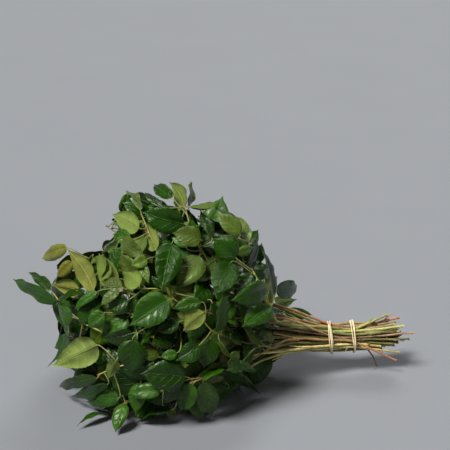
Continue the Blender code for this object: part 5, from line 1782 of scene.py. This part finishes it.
def stub(shape, places, radii, run, at, tints, draw):
    """A short broken-off side twig on a bare stem."""
    index = int(np.argmin(np.abs(run - at)))
    index = min(max(index, 1), len(places) - 2)
    ahead = unit(places[index + 1] - places[index - 1])
    out = turned(side_of(np.array((0.2, 0.3, 1.0)), ahead), ahead, draw.uniform(0, 2 * math.pi))
    way = unit(out + ahead * draw.uniform(*STUB_LEAN))
    length = draw.uniform(*STUB_LENGTH)
    t = np.linspace(0, 1, len(STUB_TAPER))[:, None]
    size = np.array(STUB_TAPER) * draw.uniform(*STUB_RADIUS)
    path = places[index] + way * (radii[index] * STUB_FOOT + length) * t
    tube(shape, path, size, TWIG_SIDES, np.tile(tints[index], (len(path), 1)), BARK)


def spur(shape, places, run, out, tints, draw):
    """A longer side twig near a stem's cut end, on the outside of the bundle, broken off."""
    index = int(np.argmin(np.abs(run - draw.uniform(*SPUR_PLACE))))
    back = unit(places[index - 1] - places[index])
    way = unit(back + out * draw.uniform(*SPUR_LEAN))
    length = draw.uniform(*SPUR_LENGTH)
    t = np.linspace(0, 1, SPUR_POINTS)[:, None]
    bend = side_of(draw.normal(0, 1, 3), way) * SPUR_BEND
    path = places[index] + way * length * t + bend * np.sin(math.pi * t)
    colours = np.tile(tints[index] * SPUR_LIGHT, (SPUR_POINTS, 1))
    tube(shape, path, np.linspace(*SPUR_RADII, SPUR_POINTS), TWIG_SIDES, colours, BARK)


def side_twig(shape, places, tints, draw):
    """A thin side twig from an outer stem, across the neck of the bundle towards the head."""
    index = int(np.argmin(np.abs(places[:, 0] - draw.uniform(*TWIG_STARTS))))
    out = places[index] - bundle_axis(places[index, 0])
    if np.linalg.norm(out) < TWIG_FROM:
        return
    out = unit(out)
    around = np.cross(ALONG_X, out) * draw.choice((-1, 1))
    way = unit(-ALONG_X + TWIG_SPREAD * out + draw.uniform(*TWIG_TURN) * around)
    length = draw.uniform(*TWIG_LENGTH)
    t = np.linspace(0, 1, TWIG_POINTS)[:, None]
    bend = side_of(draw.normal(0, 1, 3), way) * TWIG_BEND
    path = places[index] + way * length * t + bend * np.sin(TWIG_BENDS * math.pi * t)
    path = path + out * TWIG_BEND * np.sin(math.pi * t)
    colours = np.tile(tints[index] * np.array(TWIG_LIGHT) * draw.uniform(*TWIG_LIGHTS), (TWIG_POINTS, 1))
    tube(shape, path, np.linspace(*TWIG_RADII, TWIG_POINTS), TWIG_SIDES, colours, BARK)


def bud(shape, place, way, size, tint):
    """A small pointed bud."""
    t = np.linspace(0, 1, len(BUD_PROFILE))
    profile = np.array(BUD_PROFILE) * size * BUD_WIDTH
    path = place + np.multiply.outer(t * size * BUD_LENGTH, way)
    tube(shape, path, profile, TWIG_SIDES, np.tile(tint, (len(t), 1)), BARK)


def leafy_stem(number, growth, twig, materials, shift):
    """One leafy stem in full: wood, stalks, midribs, blades and buds, and its side twig if it
    has one."""
    draw = np.random.default_rng(LOOK_SEED + number)
    shape = Shape()
    places, radii, tints = fine_stem(shape, number, growth, draw)
    bud_tint = np.array((*linear(BUD_TONE), PLAIN_ALPHA))
    for index, (owner, leaf, _, _) in enumerate(growth.leaves):
        if owner != number:
            continue
        name = growth.names[index]
        look = leaf_look(name, leaf, draw)
        look = clear_look(growth, number, leaf, look, name not in ("", "inner"))
        root, at = nearest_on(places, leaf.stalk[0] + ROOT_DEPTH * unit(leaf.stalk[1] - leaf.stalk[0]))
        middle = fine_blade(shape, leaf, look)
        way = stalk_way(leaf, root)
        long_way = float(np.linalg.norm(way[-1] - way[0])) > LONG_STALK
        widest = LONG_STALK_RADIUS if long_way else SHORT_STALK_RADIUS
        thick = np.linspace(widest, BLADE_STALK_RADIUS, len(way)) * MILLIMETRE
        wood = tints[at]
        stalk = np.array((*(0.5 * wood[:3] + 0.5 * linear(STALK_TONE)), PLAIN_ALPHA))
        colours = np.linspace(wood if long_way else stalk, stalk, len(way))
        ribs = middle[: int(len(middle) * RIB_REACH)]
        thin = np.linspace(*RIB_RADII, len(ribs)) * MILLIMETRE * min(1.0, leaf.length / FULL_RIB_AT)
        under = ribs - np.multiply.outer(thin * RIB_DROP + 0.5 * FINE_THICKNESS, leaf.up)
        rib_tint = np.array((*np.clip(look["lower"][:3] * RIB_LIGHT, 0, 1), RIB_ALPHA))
        tube(shape, np.concatenate((way, under)), np.concatenate((thick, thin)), TWIG_SIDES,
             np.concatenate((colours, np.tile(rib_tint, (len(ribs), 1)))), BARK)
        if draw.uniform() < BUD_SHARE:
            along = unit(way[1] - way[0])
            ahead = unit(places[min(at + 1, len(places) - 1)] - places[max(at - 1, 0)])
            bud(shape, root + along * radii[at] * BUD_LIFT, unit(along + BUD_AHEAD * ahead),
                draw.uniform(*BUD_SIZES), bud_tint)
    bud(shape, places[-1], unit(places[-1] - places[-2]), END_BUD, bud_tint)
    if twig is not None:
        way, size = smooth_path(twig, np.array(PROP_TAPER) * PROP_RADIUS, PROP_STEP)
        tint = np.array((*linear(PROP_TONE), PLAIN_ALPHA))
        tube(shape, way, size, STEM_SIDES, np.tile(tint, (len(way), 1)), BARK)
    return shape.made(f"leafy_stem_{number + 1:02d}_fine", materials, shift)


def band_loop(stems, radii, tie):
    """Places round a tie, as far out as the stems and half the band push it, in Y and Z."""
    rim = []
    for shift in (-BAND_WIDTH / 2, 0.0, BAND_WIDTH / 2):
        for path, size in zip(stems, radii):
            across = path[::-1, 0]
            y = np.interp(tie[0] + shift, across, path[::-1, 1])
            z = np.interp(tie[0] + shift, across, path[::-1, 2])
            reach = size[1] * BAND_SLANT + BAND_GAP + BAND_THICKNESS / 2
            for side in range(ROUND_SIDES):
                angle = 2 * math.pi * side / ROUND_SIDES
                rim.append((float(y + reach * math.cos(angle)), float(z + reach * math.sin(angle))))
    rim = np.array(rim)
    angles = np.arange(BAND_POINTS) * 2 * math.pi / BAND_POINTS
    ways = np.stack((np.cos(angles), np.sin(angles)), axis=1)
    reaches = (rim @ ways.T).max(axis=0)
    loop = []
    for place in range(BAND_POINTS):
        both = [place, (place + 1) % BAND_POINTS]
        loop.append(tuple(np.linalg.solve(ways[both], reaches[both])))
    return loop


def strand_loop(growth, tie, shift, rise, draw):
    """A closed way round the stems at a tie for one strand of a band."""
    plain = np.array(band_loop(growth.stems, growth.radii, tie))
    angles = np.linspace(0, 2 * math.pi, STRAND_POINTS, endpoint=False)
    share = angles / (2 * math.pi) * len(plain)
    index = share.astype(int) % len(plain)
    t = (share - share.astype(int))[:, None]
    ring = plain[index] * (1 - t) + plain[(index + 1) % len(plain)] * t
    middle = ring.mean(axis=0)
    for _ in range(STRAND_ROUNDING):
        ring = (np.roll(ring, 1, axis=0) + 2 * ring + np.roll(ring, -1, axis=0)) / 4
    away = ring - middle
    away /= np.linalg.norm(away, axis=1)[:, None]
    ring = ring + away * rise
    phase = draw.uniform(0, 2 * math.pi)
    slow, quick = STRAND_WAVES
    x = tie[0] + shift + slow * np.sin(angles + phase) + quick * np.sin(3 * angles + 2 * phase)
    x -= STRAND_LEAN * (ring[:, 1] - middle[1])
    return np.stack((x, ring[:, 0], ring[:, 1]), axis=1)


def rubber_strands(number, growth, material, shift):
    """A rubber band as it is wound: strands side by side and one that crosses them."""
    draw = np.random.default_rng(BAND_SEED + number)
    tie = BUNDLE_TIES[number]
    shape = Shape()
    angles = 2 * math.pi * np.arange(STRAND_SIDES) / STRAND_SIDES
    for place, rise in STRANDS:
        loop = strand_loop(growth, tie, place, rise, draw)
        if rise > CROSSING_RISE:
            loop[:, 0] += CROSSING_REACH * np.sin(2 * math.pi * np.arange(STRAND_POINTS) / STRAND_POINTS)
        corners = []
        spots = []
        for node in range(STRAND_POINTS):
            ahead = unit(loop[(node + 1) % STRAND_POINTS] - loop[node - 1])
            across = side_of(ALONG_X, ahead)
            out = np.cross(ahead, across)
            ring = np.multiply.outer(STRAND_WIDTH / 2 * np.cos(angles), across)
            ring = ring + np.multiply.outer(STRAND_THICKNESS / 2 * np.sin(angles), out)
            corners.append(loop[node] + ring)
            along = np.full(STRAND_SIDES, node * STRAND_RUN)
            spots.append(np.stack((np.cos(angles), np.sin(angles), along), axis=1))
        faces = []
        for node in range(STRAND_POINTS):
            for side in range(STRAND_SIDES):
                a = node * STRAND_SIDES + side
                b = node * STRAND_SIDES + (side + 1) % STRAND_SIDES
                there = (node + 1) % STRAND_POINTS * STRAND_SIDES - node * STRAND_SIDES
                faces.append((b, a, a + there, b + there))
        tints = np.tile(solid(RUBBER_TONE), (STRAND_POINTS * STRAND_SIDES, 1))
        shape.add(np.concatenate(corners), np.concatenate(spots), tints, faces, 0)
    return shape.made(f"rubber_band_{number + 1}_strands", [material], shift)


# Materials

def linear(tone):
    """A screen colour, 0 to 255, as the light that it stands for."""
    share = np.array(tone, float) / 255
    return np.where(share <= 0.04045, share / 12.92, ((share + 0.055) / 1.055) ** 2.4)


def solid(tone):
    """A screen colour as the light that it stands for, with nothing showing through it."""
    return (*linear(tone), 1)


class Board:
    """A material's nodes, joined by calls that read as sums."""

    def __init__(self, name):
        self.material = bpy.data.materials.new(name)
        self.material.use_nodes = True
        self.tree = self.material.node_tree
        self.shader = self.tree.nodes["Principled BSDF"]

    def node(self, kind, inputs=(), **settings):
        """A node with its settings, and its inputs by name or number."""
        made = self.tree.nodes.new(kind)
        for key, value in settings.items():
            setattr(made, key, value)
        for key, value in dict(inputs).items():
            self.put(made.inputs[key], value)
        return made

    def put(self, socket, value):
        """Join a socket to another, or set its value."""
        if isinstance(value, bpy.types.NodeSocket):
            self.tree.links.new(value, socket)
        else:
            socket.default_value = value

    def sum(self, operation, a, b=0.0, c=0.0):
        """A number made of one, two or three others."""
        return self.node("ShaderNodeMath", {0: a, 1: b, 2: c}, operation=operation).outputs[0]

    def ramp(self, value, low, high, start=0.0, end=1.0):
        """A smooth step from one value to another."""
        return self.node("ShaderNodeMapRange", {"Value": value, "From Min": low, "From Max": high,
                                                "To Min": start, "To Max": end},
                         interpolation_type="SMOOTHSTEP").outputs["Result"]

    def noise(self, place, scale, detail=3.0):
        """Noise from 0 to 1 at a place."""
        return self.node("ShaderNodeTexNoise", {"Vector": place, "Scale": scale,
                                                "Detail": detail}).outputs[0]

    def blend(self, share, a, b, kind="MIX"):
        """A colour between two."""
        made = self.node("ShaderNodeMix", {"Factor": share}, data_type="RGBA", blend_type=kind)
        self.put(made.inputs[6], a)
        self.put(made.inputs[7], b)
        return made.outputs[2]

    def relief(self, height, distance, strength=1.0):
        """Bump from a height."""
        bump = self.node("ShaderNodeBump", {"Height": height, "Distance": distance,
                                            "Strength": strength})
        self.put(self.shader.inputs["Normal"], bump.outputs["Normal"])

    def attribute(self, name):
        """A named attribute's node."""
        return self.node("ShaderNodeAttribute", attribute_type="GEOMETRY", attribute_name=name)


def veins(board):
    """The pattern of a leaf's veins from its own places: how much of a vein is here, and how
    far through the field between two side veins."""
    spot = board.attribute("spot").outputs["Vector"]
    parts = board.node("ShaderNodeSeparateXYZ", {0: spot})
    u, w, v = parts.outputs
    off = board.sum("ABSOLUTE", w)
    wander = board.sum("MULTIPLY", board.sum("SUBTRACT", board.noise(spot, 5.0, 2.0), 0.5), VEIN_WANDER)
    side = board.sum("MULTIPLY", board.sum("GREATER_THAN", w, 0.0), VEIN_SHIFT)
    forward = board.sum("MULTIPLY_ADD", off, VEIN_LEAN, u)
    forward = board.sum("MULTIPLY_ADD", board.sum("MULTIPLY", off, off), VEIN_CURVE, forward)
    forward = board.sum("ADD", forward, wander)
    turn = board.sum("FRACT", board.sum("MULTIPLY_ADD", forward, VEIN_COUNT, side))
    near = board.sum("MINIMUM", turn, board.sum("SUBTRACT", 1.0, turn))
    margin = board.ramp(board.sum("ABSOLUTE", v), 0.55, 0.98, 1.0, 0.0)
    lateral = board.sum("MULTIPLY", board.ramp(near, 0.015, 0.075, 1.0, 0.0), margin)
    midrib = board.ramp(off, 0.004, 0.015, 1.0, 0.0)
    net = board.node("ShaderNodeTexVoronoi", {"Vector": spot, "Scale": 34.0},
                     feature="DISTANCE_TO_EDGE").outputs["Distance"]
    net = board.ramp(net, 0.0, 0.09, 1.0, 0.0)
    return midrib, lateral, near, net


def leaf_finish(name, upper):
    """Leaf skin: glossy and dark with sunk veins above, or pale and dull with raised ones."""
    board = Board(name)
    tint = board.attribute("tint")
    midrib, lateral, near, net = veins(board)
    place = board.node("ShaderNodeTexCoord").outputs["Object"]
    cloud = board.noise(place, 38.0, 4.0)
    fine = board.noise(place, 420.0, 2.0)
    light = board.ramp(cloud, 0.25, 0.75, 0.72, 1.24)
    tone = board.node("ShaderNodeVectorMath", {0: tint.outputs["Color"]}, operation="SCALE")
    board.put(tone.inputs["Scale"], light)
    between = board.ramp(near, 0.0, 0.5, 1.0, 0.0)
    if upper:
        pale = board.blend(1.0, tone.outputs[0], UPPER_VEIN, "MULTIPLY")
        rib = board.sum("MULTIPLY", midrib, 0.8)
        share = board.sum("MAXIMUM", rib, board.sum("MULTIPLY", lateral, 0.22))
        colour = board.blend(share, tone.outputs[0], pale)
        speck = board.ramp(board.noise(place, 130.0, 2.0), 0.74, 0.80)
        colour = board.blend(board.sum("MULTIPLY", speck, 0.55), colour, SPECK_LIGHT)
        rough = board.sum("MULTIPLY_ADD", tint.outputs["Alpha"], -0.20, 0.38)
        rough = board.sum("MULTIPLY_ADD", board.sum("SUBTRACT", cloud, 0.5), 0.16, rough)
        height = board.sum("MULTIPLY_ADD", midrib, -0.9, board.sum("MULTIPLY", lateral, -0.5))
        height = board.sum("MULTIPLY_ADD", between, -0.25, height)
        height = board.sum("MULTIPLY_ADD", net, -0.08, height)
        height = board.sum("MULTIPLY_ADD", fine, 0.08, height)
        board.relief(height, 0.0009)
    else:
        pale = board.blend(1.0, tone.outputs[0], LOWER_VEIN, "MULTIPLY")
        share = board.sum("MAXIMUM", midrib, board.sum("MULTIPLY", lateral, 0.8))
        share = board.sum("MULTIPLY", board.sum("MAXIMUM", share, board.sum("MULTIPLY", net, 0.2)),
                          tint.outputs["Alpha"])
        colour = board.blend(share, tone.outputs[0], pale)
        rough = board.sum("MULTIPLY_ADD", cloud, 0.12, 0.56)
        height = board.sum("MULTIPLY_ADD", midrib, 1.2, board.sum("MULTIPLY", lateral, 0.9))
        height = board.sum("MULTIPLY_ADD", net, 0.18, height)
        board.relief(height, 0.0008)
    board.put(board.shader.inputs["Base Color"], colour)
    board.put(board.shader.inputs["Roughness"], rough)
    board.shader.inputs["Specular IOR Level"].default_value = 0.40 if upper else 0.2
    board.shader.inputs["Specular Tint"].default_value = LEAF_SHEEN
    return board.material


def bark_finish():
    """Smooth young bark with fine streaks along it and small raised dots."""
    board = Board("salal_bark_fine")
    tint = board.attribute("tint")
    spot = board.attribute("spot").outputs["Vector"]
    place = board.node("ShaderNodeTexCoord").outputs["Object"]
    streak = board.noise(spot, 1.9, 5.0)
    cloud = board.noise(place, 60.0, 3.0)
    light = board.ramp(streak, 0.25, 0.75, 0.60, 1.42)
    light = board.sum("MULTIPLY", light, board.ramp(cloud, 0.2, 0.8, 0.85, 1.18))
    tone = board.node("ShaderNodeVectorMath", {0: tint.outputs["Color"]}, operation="SCALE")
    board.put(tone.inputs["Scale"], light)
    red = board.ramp(board.noise(place, 22.0, 2.0), 0.54, 0.70, 0.0, 0.5)
    red = board.sum("MULTIPLY", red, board.ramp(tint.outputs["Alpha"], 0.3, 0.8, 1.0, 0.25))
    reddish = board.blend(1.0, tone.outputs[0], REDDENED, "MULTIPLY")
    colour = board.blend(red, tone.outputs[0], reddish)
    dots = board.node("ShaderNodeTexVoronoi", {"Vector": place, "Scale": 520.0}).outputs["Distance"]
    dot = board.ramp(dots, 0.10, 0.22, 1.0, 0.0)
    colour = board.blend(board.sum("MULTIPLY", dot, 0.35), colour, DOT_LIGHT)
    board.put(board.shader.inputs["Base Color"], colour)
    board.put(board.shader.inputs["Roughness"], board.ramp(streak, 0.2, 0.8, 0.42, 0.62))
    board.relief(board.sum("MULTIPLY_ADD", dot, 0.5, streak), 0.0004)
    return board.material


def cut_finish():
    """A stem's cut face: pith, pale wood and a thin green ring under the bark."""
    board = Board("salal_cut")
    spot = board.attribute("spot").outputs["Vector"]
    place = board.node("ShaderNodeTexCoord").outputs["Object"]
    reach = board.node("ShaderNodeVectorMath", {0: spot}, operation="LENGTH").outputs["Value"]
    grain = board.noise(place, 900.0, 3.0)
    wood = board.blend(grain, *(solid(tone) for tone in WOOD_TONES))
    colour = board.blend(board.ramp(reach, 0.10, 0.24, 1.0, 0.0), wood, solid(PITH_TONE))
    colour = board.blend(board.ramp(reach, 0.80, 0.90), colour, solid(RING_TONE))
    board.put(board.shader.inputs["Base Color"], colour)
    board.shader.inputs["Roughness"].default_value = 0.75
    board.relief(grain, 0.0003)
    return board.material


def rubber_finish():
    """Cream rubber, dusty and a little uneven."""
    board = Board("cream_rubber_fine")
    place = board.node("ShaderNodeTexCoord").outputs["Object"]
    spot = board.attribute("spot").outputs["Vector"]
    cloud = board.noise(place, 90.0, 3.0)
    line = board.noise(spot, 3.0, 3.0)
    colour = board.blend(cloud, *(solid(tone) for tone in CREAM_TONES))
    colour = board.blend(board.ramp(line, 0.55, 0.75, 0.0, 0.35), colour, solid(CREAM_LINE))
    board.put(board.shader.inputs["Base Color"], colour)
    board.put(board.shader.inputs["Roughness"], board.ramp(cloud, 0.2, 0.8, 0.42, 0.6))
    board.shader.inputs["Subsurface Weight"].default_value = 0.15
    board.shader.inputs["Subsurface Scale"].default_value = 0.002
    board.relief(line, 0.0003)
    return board.material


def floor_finish():
    """Plain pale grey, matte."""
    board = Board("floor")
    place = board.node("ShaderNodeTexCoord").outputs["Object"]
    board.put(board.shader.inputs["Base Color"],
              board.blend(board.noise(place, 3.0, 3.0), solid(FLOOR_TONE),
                          solid(np.array(FLOOR_TONE) + FLOOR_CHANGE)))
    board.shader.inputs["Roughness"].default_value = 0.8
    return board.material


# The scene round it

def sun_light(name, way, spread, power, tint):
    """A broad far light, which lights all of the floor alike."""
    light = bpy.data.lights.new(name, "SUN")
    light.angle = spread
    light.energy = power
    light.color = tint
    thing = bpy.data.objects.new(name, light)
    thing.rotation_euler = (-Vector(way)).to_track_quat("-Z", "Y").to_euler()
    bpy.context.scene.collection.objects.link(thing)
    return thing


def stage_and_camera(shift):
    """Floor, lights, world and camera."""
    mesh = bpy.data.meshes.new("floor")
    far = FLOOR_REACH
    mesh.from_pydata([(-far, -far, 0), (far, -far, 0), (far, far, 0), (-far, far, 0)], [], [(0, 1, 2, 3)])
    mesh.materials.append(floor_finish())
    floor = bpy.data.objects.new("floor", mesh)
    floor.location.z = -FLOOR_DROP
    bpy.context.scene.collection.objects.link(floor)
    sun_light("key", KEY_WAY, KEY_SPREAD, KEY_POWER, KEY_LIGHT)
    sun_light("back", BACK_WAY, BACK_SPREAD, BACK_POWER, BACK_LIGHT)
    fill = sun_light("fill", FILL_WAY, FILL_SPREAD, FILL_POWER, FILL_LIGHT)
    fill.visible_glossy = False
    world = bpy.data.worlds.new("world")
    world.use_nodes = True
    backdrop = world.node_tree.nodes["Background"]
    backdrop.inputs["Color"].default_value = WORLD_LIGHT
    backdrop.inputs["Strength"].default_value = WORLD_STRENGTH
    bpy.context.scene.world = world
    bpy.context.scene.view_settings.view_transform = "Standard"
    lens = bpy.data.cameras.new("camera")
    lens.sensor_width = SENSOR_WIDTH
    lens.lens = SENSOR_WIDTH * FOCAL_PIXELS / (2 * PICTURE_MIDDLE)
    camera = bpy.data.objects.new("camera", lens)
    camera.location = EYE + shift
    camera.rotation_euler = (math.pi / 2 - EYE_DROP, 0, 0)
    bpy.context.scene.collection.objects.link(camera)
    bpy.context.scene.camera = camera


def layout_shift(growth):
    """How far the layout moves to put its origin under the middle of the bunch."""
    corners = [np.array(blade_shape(leaf, stops, ribbed)[0]) for _, leaf, stops, ribbed in growth.leaves]
    corners += [np.array(rod_shape(path, size, SQUARE_SIDES)[0])
                for path, size in zip(growth.stems, growth.radii)]
    corners = np.concatenate(corners)
    low = corners.min(axis=0)
    high = corners.max(axis=0)
    return np.array((-(low[0] + high[0]) / 2, -(low[1] + high[1]) / 2, 0.0))


def main():
    """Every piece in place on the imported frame."""
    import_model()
    growth = grown_bunch()
    shift = layout_shift(growth)
    fill_in(growth)
    start_fine(growth)
    prop_owner, prop_twig = prop_path(growth)
    materials = [leaf_finish("salal_leaf_upper", True), leaf_finish("salal_leaf_lower", False),
                 bark_finish(), cut_finish()]
    for number in range(STEM_COUNT):
        twig = prop_twig if number == prop_owner else None
        piece = leafy_stem(number, growth, twig, materials, shift)
        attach(piece, "root")
        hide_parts(f"leafy_stem_{number + 1:02d}")
    rubber = rubber_finish()
    for number in range(len(BUNDLE_TIES)):
        band = rubber_strands(number, growth, rubber, shift)
        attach(band, "root")
        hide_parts(f"rubber_band_{number + 1}")
    stage_and_camera(shift)
    bpy.context.view_layer.update()


main()
